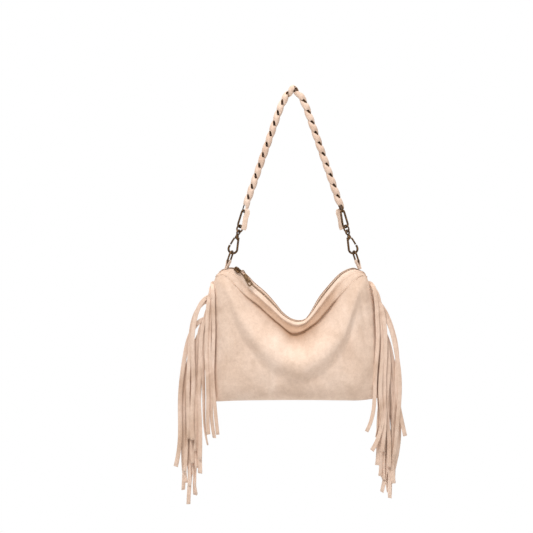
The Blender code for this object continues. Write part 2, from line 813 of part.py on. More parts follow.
def fullness(v, power=2.4, sharp=0.62):
    return max(0.0, 1.0 - abs(v) ** power) ** sharp


def crease_point(v, face):
    y = SIDE_SEAM_HALF + (CREASE_HALF_DEPTH - SIDE_SEAM_HALF) * fullness(v)
    z = zip_height(v) - BAND_HEIGHT * through(BAND_SHAPE, v)
    return Vector((zip_x(v), face * y, z))


def bottom_point(v, face):
    lift = 7.0 * MM * smooth_step((v - 0.7) / 0.3) + 1.5 * MM * (1.0 - v * v)
    return Vector((BOTTOM_SHIFT + v * BOTTOM_WIDTH / 2.0, face * SEAM_HALF, BOTTOM_Z + lift))


def side_swell(w):
    """How far the side seams stand out from the straight line between corner and bottom."""
    shoulder = smooth_step((w - 0.4) / 0.5) * (1.0 - smooth_step((w - 0.9) / 0.12))
    return SIDE_SWELL * math.sin(math.pi * w) + SHOULDER_SWELL * shoulder


def panel_point(v, w, face):
    """Point of a body panel: v across, w from the bottom seam (0) to the crease (1)."""
    low = bottom_point(v, face)
    high = crease_point(v, face)
    x = low.x + (high.x - low.x) * w
    x += math.copysign(abs(v) ** 3, v) * side_swell(w)
    z = low.z + (high.z - low.z) * w
    ridge = 0.46 + 0.30 * abs(v) ** 1.5
    if w < ridge:
        share = 1.0 - (1.0 - w / ridge) ** 2.2
        depth = HALF_DEPTH * share ** 0.62
    else:
        share = smooth_step((w - ridge) / (1.0 - ridge))
        depth = HALF_DEPTH + (CREASE_HALF_DEPTH - HALF_DEPTH) * share
    seam = SEAM_HALF + (SIDE_SEAM_HALF - SEAM_HALF) * smooth_step(w / 0.15)
    y = seam + depth * fullness(v, 2.6, 0.70)
    if w >= 1.0:
        y = abs(high.y)
    return Vector((x, face * y, z))


def row_heights():
    even = [r / PANEL_ROWS for r in range(PANEL_ROWS + 1)]
    return [0.5 * w + 0.25 * (1.0 - math.cos(math.pi * w)) for w in even]


def spaced(count):
    return [-math.cos(math.pi * k / count) for k in range(count + 1)]


def build_panel(name, face):
    rows = [[panel_point(v, w, face) for v in spaced(PANEL_COLUMNS)] for w in row_heights()]
    if face > 0:
        rows = [row[::-1] for row in rows]
    panel = grid_surface(name, rows)
    thicken(panel, SUEDE, -1.0)
    finish(panel, SUEDE_MAT)
    return panel


def band_rows(v, face):
    """Section of the rolled band from the crease up and over to the zip's lip."""
    crease = crease_point(v, face)
    slot = ZIP_SLOT / 2.0
    top = zip_height(v)
    full = fullness(v)
    y0 = abs(crease.y)
    rise = top - crease.z
    section = [
        (y0 - 0.2 * MM, crease.z + GAP + 0.2 * MM),
        (y0 + BAND_ROLL * (0.3 + 0.7 * full), crease.z + 0.22 * rise),
        (y0 * 0.92 + BAND_ROLL * 0.9 * full, crease.z + 0.55 * rise),
        (y0 * 0.66 + BAND_ROLL * 0.5 * full, crease.z + 0.85 * rise),
        (slot + 0.42 * (y0 - slot) * 0.8, top + 0.9 * MM),
        (slot, top),
    ]
    return [Vector((zip_x(v), face * y, z)) for y, z in section]


def build_band(name, face):
    columns = [band_rows(v * 0.985, face) for v in spaced(PANEL_COLUMNS)]
    rows = [list(row) for row in zip(*columns)]
    if face > 0:
        rows = [row[::-1] for row in rows]
    band = grid_surface(name, rows)
    thicken(band, SUEDE, -1.0)
    finish(band, SUEDE_MAT)


def build_lining():
    """Pouch inside the panels: one sheet down the front, round the bottom and up the back."""
    room = SUEDE + LINING_ROOM
    columns = [0.95 * v for v in spaced(LINING_COLUMNS)]
    heights = [LINING_LOW + (LINING_HIGH - LINING_LOW) * r / LINING_ROWS for r in range(LINING_ROWS + 1)]
    rows = []
    for face, order in ((-1, heights[::-1]), (1, heights)):
        for w in order:
            row = []
            for v in columns:
                point = panel_point(v, w, face)
                depth = max(GAP, 0.9 * abs(point.y) - room)
                row.append(Vector((0.96 * point.x, face * depth, point.z + LINING_LIFT * (1.0 - w))))
            rows.append(row)
    lining = grid_surface("lining", rows)
    thicken(lining, LINING_THICKNESS, 0.0)
    finish(lining, LINING_MAT)


# Zip: tapes and coils follow the top edge; the slider and puller sit near the left end

def zip_frame(v):
    """Point, direction along the zip and upward normal at v."""
    step = 0.01
    a = Vector((zip_x(v - step), 0.0, zip_height(v - step)))
    b = Vector((zip_x(v + step), 0.0, zip_height(v + step)))
    along = (b - a).normalized()
    normal = Vector((-along.z, 0.0, along.x))
    return Vector((zip_x(v), 0.0, zip_height(v))), along, normal


def sweep_bar(name, stations, y_low, y_high, n_low, n_high, mat):
    bm = bmesh.new()
    rings = []
    for v in stations:
        centre, _, normal = zip_frame(v)
        ring = []
        for y, n in ((y_low, n_low), (y_high, n_low), (y_high, n_high), (y_low, n_high)):
            ring.append(bm.verts.new(centre + Y_AXIS * y + normal * n))
        rings.append(ring)
    for a, b in zip(rings, rings[1:]):
        for i in range(4):
            j = (i + 1) % 4
            bm.faces.new((a[i], a[j], b[j], b[i]))
    bm.faces.new(rings[0][::-1])
    bm.faces.new(rings[-1])
    bmesh.ops.recalc_face_normals(bm, faces=bm.faces)
    obj = mesh_object(name, bm)
    finish(obj, mat, smooth=False)
    return obj


def build_zip():
    count = 30
    stations = [-0.90 + 1.78 * k / count for k in range(count + 1)]
    for face, word in ((-1, "front"), (1, "back")):
        inner = face * COIL_SLIT / 2.0
        outer = face * (COIL_SLIT / 2.0 + COIL_WIDTH)
        top = -0.1 * MM
        sweep_bar("zip_coil_" + word, stations, min(inner, outer), max(inner, outer),
                  top - COIL_HEIGHT, top, TAPE_MAT)
        edge = face * COIL_SLIT / 2.0
        far = face * (COIL_SLIT / 2.0 + TAPE_WIDTH)
        low = top - COIL_HEIGHT - TAPE_DROP - TAPE_THICKNESS
        sweep_bar("zip_tape_" + word, stations, min(edge, far), max(edge, far), low, low + TAPE_THICKNESS, TAPE_MAT)


def build_stop(name, v):
    """Crimped metal stop across both coils at one end of the zip."""
    centre, along, normal = zip_frame(v)
    bm = bmesh.new()
    reach = COIL_SLIT + 1.2 * COIL_WIDTH
    box_mesh(bm, (STOP_LENGTH, reach, STOP_THICKNESS), (0.0, 0.0, GAP - 0.1 * MM + STOP_THICKNESS / 2.0))
    bmesh.ops.bevel(bm, geom=list(bm.edges), offset=0.25 * MM, segments=1, affect="EDGES")
    stop = mesh_object(name, bm)
    matrix = Matrix((along, normal.cross(along), normal)).transposed().to_4x4()
    matrix.translation = centre
    stop.matrix_world = matrix
    finish(stop, METAL, smooth=False)


SLIDER_AT = -0.82


def build_slider():
    centre, along, normal = zip_frame(SLIDER_AT)
    frame = Matrix((along, normal.cross(along), normal)).transposed().to_4x4()
    frame.translation = centre
    empty = bpy.data.objects.new("zip_slider_axis", None)
    PARTS.objects.link(empty)
    empty.matrix_world = frame

    plate_low = SUEDE + 1.2 * MM
    under = -0.1 * MM - COIL_HEIGHT - TAPE_DROP - 2.0 * GAP - TAPE_THICKNESS - SLIDER_PLATE
    bm = bmesh.new()
    box_mesh(bm, (SLIDER_LENGTH, SLIDER_WIDTH, SLIDER_PLATE), (0.0, 0.0, plate_low + SLIDER_PLATE / 2.0))
    bmesh.ops.bevel(bm, geom=[e for e in bm.edges if abs(e.verts[0].co.z - e.verts[1].co.z) > 0.5 * MM],
                    offset=2.0 * MM, segments=2, affect="EDGES", profile=0.5)
    slider = mesh_object("zip_slider", bm)
    finish(slider, METAL, parent=empty, smooth=False)
    bm = bmesh.new()
    box_mesh(bm, (SLIDER_LENGTH * 0.9, SLIDER_WIDTH * 0.8, SLIDER_PLATE), (0.0, 0.0, under + SLIDER_PLATE / 2.0))
    base = mesh_object("slider_base", bm)
    bm = bmesh.new()
    post = COIL_SLIT - 2.0 * GAP
    tall = plate_low + 0.5 * MM - under - 0.5 * MM
    box_mesh(bm, (3.0 * MM, post, tall), (-0.2 * SLIDER_LENGTH, 0.0, under + 0.5 * MM + tall / 2.0))
    core = mesh_object("slider_post", bm)
    # The bail is a low bridge on the top plate that carries the puller.
    bail = to_mesh(wire_object("slider_bail", [
        Vector((-4.2 * MM, 0.0, plate_low + 0.6 * MM)),
        Vector((-3.6 * MM, 0.0, plate_low + SLIDER_PLATE + 2.6 * MM)),
        Vector((-1.5 * MM, 0.0, plate_low + SLIDER_PLATE + 3.8 * MM)),
        Vector((1.5 * MM, 0.0, plate_low + SLIDER_PLATE + 3.8 * MM)),
        Vector((3.6 * MM, 0.0, plate_low + SLIDER_PLATE + 2.6 * MM)),
        Vector((4.2 * MM, 0.0, plate_low + 0.6 * MM)),
    ], 0.8 * MM, False, 1))
    for tool in (base, core, bail):
        union(slider, tool)
        tool.parent = empty

    # Puller: a flat tongue with an eye round the bail and a square window at its free end.
    hinge = Vector((0.0, 0.0, plate_low + SLIDER_PLATE + 1.6 * MM))
    puller_axis = add_empty("zip_puller_axis", hinge, (0.0, math.radians(PULLER_TILT), 0.0), empty)
    bm = bmesh.new()
    half = PULLER_WIDTH / 2.0
    outline = [
        (-EYE_BAR / 2.0, -half * 0.75), (PULLER_LENGTH * 0.35, -half * 0.8), (PULLER_LENGTH - 3.0 * MM, -half),
        (PULLER_LENGTH - 1.0 * MM, -half * 0.8), (PULLER_LENGTH - 1.0 * MM, half * 0.8),
        (PULLER_LENGTH - 3.0 * MM, half), (PULLER_LENGTH * 0.35, half * 0.8), (-EYE_BAR / 2.0, half * 0.75),
    ]
    low = [bm.verts.new((x, y, -PULLER_THICKNESS / 2.0)) for x, y in outline]
    high = [bm.verts.new((x, y, PULLER_THICKNESS / 2.0)) for x, y in outline]
    bm.faces.new(low[::-1])
    bm.faces.new(high)
    for i in range(len(outline)):
        j = (i + 1) % len(outline)
        bm.faces.new((low[i], low[j], high[j], high[i]))
    bmesh.ops.recalc_face_normals(bm, faces=bm.faces)
    puller = mesh_object("zip_puller", bm)
    finish(puller, METAL, parent=puller_axis, smooth=False)
    for name, x, size in (("puller_eye", (EYE_BAR + EYE_SLOT) / 2.0, (EYE_SLOT, 2.6 * MM)),
                          ("puller_window", PULLER_LENGTH - 4.6 * MM, (PULLER_HOLE * 0.85, PULLER_HOLE * 0.75))):
        bm = bmesh.new()
        box_mesh(bm, (size[0], size[1], 6.0 * MM), (x, 0.0, 0.0))
        tool = mesh_object(name, bm)
        cut(puller, tool)
        tool.parent = puller_axis


PULLER_TILT = 6.0


# Fringe: a header sewn into each side seam, cut into strips that flop out and hang

def seam_x(z, side):
    """The side seam's place across at height z, along the panel's own facets."""
    seam = [panel_point(float(side), w, -1) for w in row_heights()]
    for low, high in zip(seam, seam[1:]):
        if z <= high.z:
            break
    return low.x + (high.x - low.x) * (z - low.z) / (high.z - low.z)


# How far out from the seam each strip hangs, in millimetres, from the top of the seam down
STRIP_REACH = {
    -1: (20, 26, 18, 40, 48, 22, 28, 33, 68, 30, 44, 52, 36, 60, 56, 50, 45, 62, 47, 42),
    1: (20, 26, 18, 30, 46, 20, 44, 23, 20, 28, 38, 24, 27, 36, 42, 34, 39, 36, 34, 31),
}


def strip_path(side, index, rng, segments):
    """Centre points of one strip, from its root in the header to its free end."""
    z_root = CORNER_Z - FRINGE_START - (index + 0.5) * STRIP_PITCH
    x_root = seam_x(z_root, side) + side * HEADER_WIDTH
    reaches = STRIP_REACH[side]
    reach = reaches[index % len(reaches)] * MM
    depth = LAST_LAYER + (STRIPS - 1 - index) // 2 * LAYER_STEP
    depth = depth if index % 2 else -depth
    length = STRIP_LENGTH * (1.0 + 0.03 * rng.uniform(-1.0, 1.0))
    flare = rng.uniform(-4.0, 4.0) * MM
    settle = 0.45 * reach + 9.0 * MM
    fine = 8 * segments
    step = length / fine
    x_off = drop = 0.0
    points = [Vector((x_root, 0.0, z_root))]
    for k in range(1, fine + 1):
        a = k * step
        out = min(0.94, reach / settle * math.exp(-(a - 0.5 * step) / settle))
        x_off += out * step
        drop += math.sqrt(1.0 - out * out) * step
        share = a / length
        points.append(Vector((
            x_root + side * (x_off + flare * share * share),
            depth * (1.0 - math.exp(-a / (6.0 * MM))),
            z_root - drop,
        )))
    picks = [round(fine * (k / segments) ** 1.45) for k in range(segments + 1)]
    return [points[k] for k in picks]


def build_fringe(name, side):
    rng = random.Random(11 if side < 0 else 23)
    bm = bmesh.new()
    half = STRIP_WIDTH / 2.0 - 0.35 * MM
    inner_edge = []
    outer_edge = []
    for index in range(STRIPS):
        path = strip_path(side, index, rng, STRIP_SEGMENTS)
        rows = []
        for k, point in enumerate(path):
            a = path[max(0, k - 1)]
            b = path[min(len(path) - 1, k + 1)]
            along = (b - a).normalized()
            if k == 0:
                along = X_AXIS * side
            wide = along.cross(Y_AXIS)
            if wide.length < 1e-6:
                wide = X_AXIS.copy()
            wide = wide.normalized() * side
            reach = half if k else half - ROOT_NARROWING
            rows.append((bm.verts.new(point + wide * reach), bm.verts.new(point - wide * reach)))
        for a, b in zip(rows, rows[1:]):
            bm.faces.new((a[0], a[1], b[1], b[0]))
        outer_edge.append(rows[0])
    tops = []
    for pair in outer_edge:
        high, low = sorted(pair, key=lambda vert: -vert.co.z)
        tops.append((high, low))
    last = None
    for high, low in tops:
        z_high, z_low = high.co.z, low.co.z
        inner_high = bm.verts.new((seam_x(z_high, side) - side * HEADER_TUCK, 0.0, z_high))
        inner_low = bm.verts.new((seam_x(z_low, side) - side * HEADER_TUCK, 0.0, z_low))
        bm.faces.new((high, low, inner_low, inner_high))
        if last is not None:
            bm.faces.new((last[0], high, inner_high, last[1]))
        last = (low, inner_low)
    bmesh.ops.recalc_face_normals(bm, faces=bm.faces)
    fringe = mesh_object(name, bm)
    thicken(fringe, STRIP_THICKNESS, 0.0)
    finish(fringe, SUEDE_MAT)


clear_scene()
PARTS = new_collection("fringed_suede_bag")
CUTTERS = new_collection("cutters")
SUEDE_MAT = material("suede", SUEDE_COLOUR, 0.95)
LINING_MAT = material("lining_cotton", SUEDE_INSIDE, 0.9)
TAPE_MAT = material("zip_tape", TAPE_COLOUR, 0.85)
METAL = material("antique_bronze", BRONZE, 0.38, 1.0)

build_chain()
build_lacing()
for which in (-1, 1):
    build_fittings(which)
for panel_face, face_word in ((-1, "front"), (1, "back")):
    build_panel(face_word + "_panel", panel_face)
    build_band(face_word + "_zip_band", panel_face)
build_zip()
build_stop("zip_stop_left", -0.89)
build_stop("zip_stop_right", 0.86)
build_slider()
build_lining()
build_fringe("left_fringe", -1)
build_fringe("right_fringe", 1)
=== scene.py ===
import math
import random

import bmesh
import bpy
from mathutils import Matrix, Vector, noise


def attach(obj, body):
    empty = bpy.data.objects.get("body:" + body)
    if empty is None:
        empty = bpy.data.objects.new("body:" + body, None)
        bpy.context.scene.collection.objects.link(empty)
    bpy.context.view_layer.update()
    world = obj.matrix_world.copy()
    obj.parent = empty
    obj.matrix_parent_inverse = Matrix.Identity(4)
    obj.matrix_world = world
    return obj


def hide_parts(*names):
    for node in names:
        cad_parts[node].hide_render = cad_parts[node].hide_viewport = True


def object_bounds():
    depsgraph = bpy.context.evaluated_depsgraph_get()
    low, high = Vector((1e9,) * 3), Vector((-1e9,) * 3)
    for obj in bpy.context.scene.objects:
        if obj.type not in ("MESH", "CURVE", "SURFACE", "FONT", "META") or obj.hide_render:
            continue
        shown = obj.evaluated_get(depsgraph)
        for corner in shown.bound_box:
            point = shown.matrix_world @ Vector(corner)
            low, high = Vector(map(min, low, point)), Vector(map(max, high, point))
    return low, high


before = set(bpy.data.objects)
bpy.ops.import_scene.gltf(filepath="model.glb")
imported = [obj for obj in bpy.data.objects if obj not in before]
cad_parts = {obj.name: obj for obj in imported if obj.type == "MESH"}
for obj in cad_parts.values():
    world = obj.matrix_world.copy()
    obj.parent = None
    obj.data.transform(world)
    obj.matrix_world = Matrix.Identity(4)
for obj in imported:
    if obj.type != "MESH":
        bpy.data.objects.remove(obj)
CAD_LOW, CAD_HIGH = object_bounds()

MM = 0.001
X_AXIS = Vector((1.0, 0.0, 0.0))
Y_AXIS = Vector((0.0, 1.0, 0.0))
Z_AXIS = Vector((0.0, 0.0, 1.0))

# Sizes shared with the part's source
GAP = 0.3 * MM
LINK_PITCH = 20.2 * MM
LINK_WIRE = 2.2 * MM
LINK_WIDTH = 8.4 * MM
LINK_PLAY = 0.5 * MM
LINKS_PER_SIDE = 12
APEX_HEIGHT = 6.4 * MM
FIRST_LINK_LEAN = 42.0
SECOND_LINK_LEAN = 27.0
APEX_TWIST = 45.0
STRAP_TWIST = {-1: 0.0, 1: 25.0}
TWIST_RUN = 150.0 * MM
LACE_THICKNESS = 1.0 * MM
LACE_ROOM = 0.5 * MM
LACE_SPACING = 0.9 * MM
LACE_WINDOW = 9.0 * MM
LACE_WINDOW_HALF_ANGLE = 66.0
LACE_TURN = {-1: 74.0, 1: 58.0}
LACE_TURN_RUN = 30.0 * MM
LACE_CROWN = 1.25 * MM
LACE_APEX_NARROWING = 4.6 * MM
LACE_APEX_BULGE = 2.2 * MM
LACE_BULGE_REACH = 8.0 * MM
APEX_RADIUS = 7.2 * MM
LEAN_RADIUS = 30.0 * MM
HANGER_HALF_SPAN = 111.7 * MM
END_LINK_LENGTH = 30.4 * MM
END_LINK_WIDTH = 12.6 * MM
END_LINK_WIRE = 2.6 * MM
END_LINK_OFFSET = 3.0 * MM
STRAP_RING_RADIUS = 5.9 * MM
STRAP_RING_WIRE = 2.2 * MM
TAIL_THICKNESS = 1.1 * MM
TAIL_SHOWN = 9.5 * MM
HOOK_WIRE = 3.0 * MM
HOOK_LENGTH = 32.0 * MM
HOOK_HALF_WIDTH = 7.4 * MM
HOOK_BEND_HEIGHT = 7.6 * MM
NECK_HALF_WIDTH = 2.7 * MM
COLLAR_HEIGHT = 4.0 * MM
EYE_WIRE = 2.4 * MM
EYE_RADIUS = 3.6 * MM
GATE_WIRE = 2.2 * MM
D_RING_WIRE = 2.6 * MM
D_RING_WIDTH = 17.0 * MM
D_RING_LENGTH = 22.0 * MM
D_RING_YAW = 20.0
TAB_WIDTH = 11.0 * MM
TAB_THICKNESS = 1.4 * MM
TAB_LENGTH = 15.0 * MM
SUEDE = 1.4 * MM
STRIPS = 20
STRIP_WIDTH = 7.6 * MM
STRIP_THICKNESS = 1.2 * MM
STRIP_PITCH = 7.6 * MM
HEADER_WIDTH = 3.0 * MM

# How much thicker each wire is drawn than its solid, as the photograph shows them
EXTRA = {"link": 1.2 * MM, "ring": 0.9 * MM, "hook": 1.1 * MM, "eye": 0.8 * MM, "gate": 1.2 * MM, "dee": 0.8 * MM}

# Depths of the body's front and back from the middle, in mm
FOLD_DEPTH = 21.0
HOLLOW = 13.5
FRONT_BELLY = 41.0
BACK_BELLY = 40.0
DEEPEST = 45.5

# Studio and camera
WORLD_LEVEL = 0.40
CAMERA_ELEVATION = 5.0
CAMERA_DISTANCE = 4.2
CAMERA_TARGET = Vector((-0.0482, 0.0, -0.3176))
PICTURE_WIDTH = 0.970
SENSOR_MM = 36.0


# Materials

def new_material(name):
    mat = bpy.data.materials.new(name)
    mat.use_nodes = True
    tree = mat.node_tree
    return mat, tree, tree.nodes["Principled BSDF"]


def noise_node(tree, coords, scale, detail=4.0, roughness=0.55, stretch=None, distortion=0.0):
    node = tree.nodes.new("ShaderNodeTexNoise")
    node.inputs["Scale"].default_value = scale
    node.inputs["Detail"].default_value = detail
    node.inputs["Roughness"].default_value = roughness
    node.inputs["Distortion"].default_value = distortion
    if stretch is not None:
        mapping = tree.nodes.new("ShaderNodeMapping")
        mapping.inputs["Scale"].default_value = stretch
        tree.links.new(coords, mapping.inputs["Vector"])
        coords = mapping.outputs["Vector"]
    tree.links.new(coords, node.inputs["Vector"])
    return node.outputs["Fac"]


def ramp_node(tree, value, stops):
    node = tree.nodes.new("ShaderNodeValToRGB")
    ramp = node.color_ramp
    while len(ramp.elements) < len(stops):
        ramp.elements.new(0.5)
    for element, (place, colour) in zip(ramp.elements, stops):
        element.position = place
        element.color = (*colour, 1.0)
    tree.links.new(value, node.inputs["Fac"])
    return node.outputs["Color"]


def mix_colour(tree, kind, factor, a, b):
    node = tree.nodes.new("ShaderNodeMix")
    node.data_type = "RGBA"
    node.blend_type = kind
    for socket, value in ((node.inputs[0], factor), (node.inputs[6], a), (node.inputs[7], b)):
        if isinstance(value, bpy.types.NodeSocket):
            tree.links.new(value, socket)
        elif isinstance(value, tuple):
            socket.default_value = (*value, 1.0)
        else:
            socket.default_value = value
    return node.outputs[2]


def bump_node(tree, height, strength, distance, under=None):
    node = tree.nodes.new("ShaderNodeBump")
    node.inputs["Strength"].default_value = strength
    node.inputs["Distance"].default_value = distance
    tree.links.new(height, node.inputs["Height"])
    if under is not None:
        tree.links.new(under, node.inputs["Normal"])
    return node.outputs["Normal"]


def suede(name, light, mid, shade, brushed=(26.0, 26.0, 9.0), sheen=0.35, streaky=0.7, folds=False):
    """Brushed suede: soft patches where the nap lies over, fine streaks along the brush, a fibrous surface, and, when
    folds is set, painted shade from the fold_shade attribute.
    """
    mat, tree, shader = new_material(name)
    coords = tree.nodes.new("ShaderNodeTexCoord").outputs["Object"]
    patches = noise_node(tree, coords, 18.0, 3.0, 0.5, distortion=0.6)
    streaks = noise_node(tree, coords, 1.0, 5.0, 0.6, stretch=tuple(6.0 * s for s in brushed), distortion=0.4)
    fibres = noise_node(tree, coords, 1500.0, 2.0, 0.6)
    pile = noise_node(tree, coords, 420.0, 4.0, 0.65)
    base = ramp_node(tree, patches, ((0.30, shade), (0.52, mid), (0.74, light)))
    brushed_tone = ramp_node(tree, streaks, ((0.34, (0.86, 0.84, 0.82)), (0.62, (1.0, 1.0, 1.0))))
    pile_tone = ramp_node(tree, pile, ((0.36, (0.90, 0.885, 0.87)), (0.60, (1.0, 1.0, 1.0))))
    mottle = noise_node(tree, coords, 130.0, 4.0, 0.6, distortion=0.3)
    mottle_tone = ramp_node(tree, mottle, ((0.34, (0.90, 0.875, 0.85)), (0.62, (1.0, 1.0, 1.0))))
    colour = mix_colour(tree, "MULTIPLY", streaky, base, brushed_tone)
    colour = mix_colour(tree, "MULTIPLY", 0.8, colour, mottle_tone)
    # Painted shade: the fold_shade attribute darkens the colour in the fold under the front band.
    if folds:
        fold = tree.nodes.new("ShaderNodeAttribute")
        fold.attribute_name = "fold_shade"
        fold_shade_tone = ramp_node(tree, fold.outputs["Fac"], ((0.0, (1.0, 1.0, 1.0)), (1.0, (0.60, 0.465, 0.36))))
        colour = mix_colour(tree, "MULTIPLY", 1.0, colour, fold_shade_tone)
    colour = mix_colour(tree, "MULTIPLY", 0.7, colour, pile_tone)
    tree.links.new(colour, shader.inputs["Base Color"])
    rough = tree.nodes.new("ShaderNodeMapRange")
    rough.inputs["To Min"].default_value = 0.86
    rough.inputs["To Max"].default_value = 1.0
    tree.links.new(pile, rough.inputs["Value"])
    tree.links.new(rough.outputs["Result"], shader.inputs["Roughness"])
    normal = bump_node(tree, streaks, 0.25, 0.8 * MM)
    normal = bump_node(tree, pile, 0.35, 0.35 * MM, normal)
    normal = bump_node(tree, fibres, 0.30, 0.15 * MM, normal)
    tree.links.new(normal, shader.inputs["Normal"])
    shader.inputs["Specular IOR Level"].default_value = 0.18
    shader.inputs["Sheen Weight"].default_value = sheen
    shader.inputs["Sheen Roughness"].default_value = 0.45
    shader.inputs["Sheen Tint"].default_value = (1.0, 0.90, 0.80, 1.0)
    return mat


def bronze(name, dark, worn, rough=(0.24, 0.46)):
    """Dark antique plating with brown worn patches and fine scuffs."""
    mat, tree, shader = new_material(name)
    coords = tree.nodes.new("ShaderNodeTexCoord").outputs["Object"]
    patches = noise_node(tree, coords, 260.0, 4.0, 0.6, distortion=0.8)
    specks = noise_node(tree, coords, 1400.0, 3.0, 0.6)
    between = tuple(0.5 * (a + b) for a, b in zip(dark, worn))
    base = ramp_node(tree, patches, ((0.36, dark), (0.56, between), (0.72, worn)))
    tone = ramp_node(tree, specks, ((0.30, (0.62, 0.58, 0.54)), (0.55, (1.0, 1.0, 1.0))))
    tree.links.new(mix_colour(tree, "MULTIPLY", 0.6, base, tone), shader.inputs["Base Color"])
    shader.inputs["Metallic"].default_value = 1.0
    mapped = tree.nodes.new("ShaderNodeMapRange")
    mapped.inputs["To Min"].default_value = rough[0]
    mapped.inputs["To Max"].default_value = rough[1]
    tree.links.new(patches, mapped.inputs["Value"])
    tree.links.new(mapped.outputs["Result"], shader.inputs["Roughness"])
    normal = bump_node(tree, specks, 0.12, 0.05 * MM)
    tree.links.new(normal, shader.inputs["Normal"])
    return mat


def woven(name, colour, dark, pitch):
    """Plain woven tape or lining."""
    mat, tree, shader = new_material(name)
    coords = tree.nodes.new("ShaderNodeTexCoord").outputs["Object"]
    waves = []
    for direction in ("X", "Z"):
        wave = tree.nodes.new("ShaderNodeTexWave")
        wave.bands_direction = direction
        wave.inputs["Scale"].default_value = 0.31 / pitch
        wave.inputs["Distortion"].default_value = 0.6
        tree.links.new(coords, wave.inputs["Vector"])
        waves.append(wave.outputs["Fac"])
    weave = tree.nodes.new("ShaderNodeMath")
    weave.operation = "MULTIPLY"
    tree.links.new(waves[0], weave.inputs[0])
    tree.links.new(waves[1], weave.inputs[1])
    tree.links.new(ramp_node(tree, weave.outputs[0], ((0.0, dark), (0.6, colour))), shader.inputs["Base Color"])
    tree.links.new(bump_node(tree, weave.outputs[0], 0.4, 0.1 * MM), shader.inputs["Normal"])
    shader.inputs["Roughness"].default_value = 0.85
    return mat


# Mesh helpers

def link_object(name, bm, mat, smooth=True):
    mesh = bpy.data.meshes.new(name)
    bm.to_mesh(mesh)
    bm.free()
    obj = bpy.data.objects.new(name, mesh)
    bpy.context.scene.collection.objects.link(obj)
    obj.data.materials.append(mat)
    if smooth:
        obj.data.shade_smooth()
    return obj


def sheet_grid(across, up, place):
    """A bmesh grid whose points are moved to place(u, w), with u and w from 0 to 1."""
    bm = bmesh.new()
    bmesh.ops.create_grid(bm, x_segments=across, y_segments=up, size=1.0)
    for vert in bm.verts:
        vert.co = place(0.5 + 0.5 * vert.co.x, 0.5 + 0.5 * vert.co.y)
    return bm


def thicken(obj, thickness, offset=-1.0):
    wall = obj.modifiers.new("thickness", "SOLIDIFY")
    wall.thickness = thickness
    wall.offset = offset


def cut_edge(obj, width, segments=2, angle=55.0):
    """Takes the sharpness off the cut rim of a thickened sheet."""
    rim = obj.modifiers.new("cut_edge", "BEVEL")
    rim.width = width
    rim.segments = segments
    rim.limit_method = "ANGLE"
    rim.angle_limit = math.radians(angle)


def wire_mesh(name, points, radius, closed, mat, sides=3):
    """A round wire along the points, made a mesh at the origin."""
    curve = bpy.data.curves.new(name, "CURVE")
    curve.dimensions = "3D"
    curve.bevel_depth = radius
    curve.bevel_resolution = sides
    curve.use_fill_caps = not closed
    spline = curve.splines.new("POLY")
    spline.points.add(len(points) - 1)
    for item, point in zip(spline.points, points):
        item.co = (*point, 1.0)
    spline.use_cyclic_u = closed
    made = bpy.data.objects.new(name + "_curve", curve)
    bpy.context.scene.collection.objects.link(made)
    graph = bpy.context.evaluated_depsgraph_get()
    mesh = bpy.data.meshes.new_from_object(made.evaluated_get(graph))
    bpy.data.objects.remove(made, do_unlink=True)
    bm = bmesh.new()
    bm.from_mesh(mesh)
    bmesh.ops.remove_doubles(bm, verts=bm.verts, dist=1e-6)
    bmesh.ops.recalc_face_normals(bm, faces=bm.faces)
    return link_object(name, bm, mat)


def smooth_step(value):
    value = min(1.0, max(0.0, value))
    return value * value * (3.0 - 2.0 * value)


def through(stations, x):
    """Reads a smooth curve through (x, value) stations."""
    if x <= stations[0][0]:
        return stations[0][1]
    if x >= stations[-1][0]:
        return stations[-1][1]
    last = len(stations) - 1
    for i in range(last):
        if x <= stations[i + 1][0]:
            break
    x0, v0 = stations[i]
    x1, v1 = stations[i + 1]

    def slope(k):
        low = max(0, k - 1)
        high = min(last, k + 1)
        return (stations[high][1] - stations[low][1]) / (stations[high][0] - stations[low][0])

    h = x1 - x0
    t = (x - x0) / h
    a = (1.0 + 2.0 * t) * (1.0 - t) ** 2
    b = t * (1.0 - t) ** 2
    c = t * t * (3.0 - 2.0 * t)
    d = t * t * (t - 1.0)
    return a * v0 + b * h * slope(i) + c * v1 + d * h * slope(i + 1)


def spline_points(points, closed, steps):
    """A smooth run of points through the given ones."""
    count = len(points)
    made = []
    spans = count if closed else count - 1
    for i in range(spans):
        if closed:
            p0, p1, p2, p3 = (points[(i + k) % count] for k in (-1, 0, 1, 2))
        else:
            p1, p2 = points[i], points[i + 1]
            p0 = points[i - 1] if i else p1 * 2.0 - p2
            p3 = points[i + 2] if i + 2 < count else p2 * 2.0 - p1
        for k in range(steps):
            t = k / steps
            made.append(0.5 * (
                2.0 * p1 + (p2 - p0) * t + (2.0 * p0 - 5.0 * p1 + 4.0 * p2 - p3) * t * t
                + (3.0 * p1 - p0 - 3.0 * p2 + p3) * t ** 3
            ))
    if not closed:
        made.append(points[-1].copy())
    return made


# Strap line, as the part's source lays it

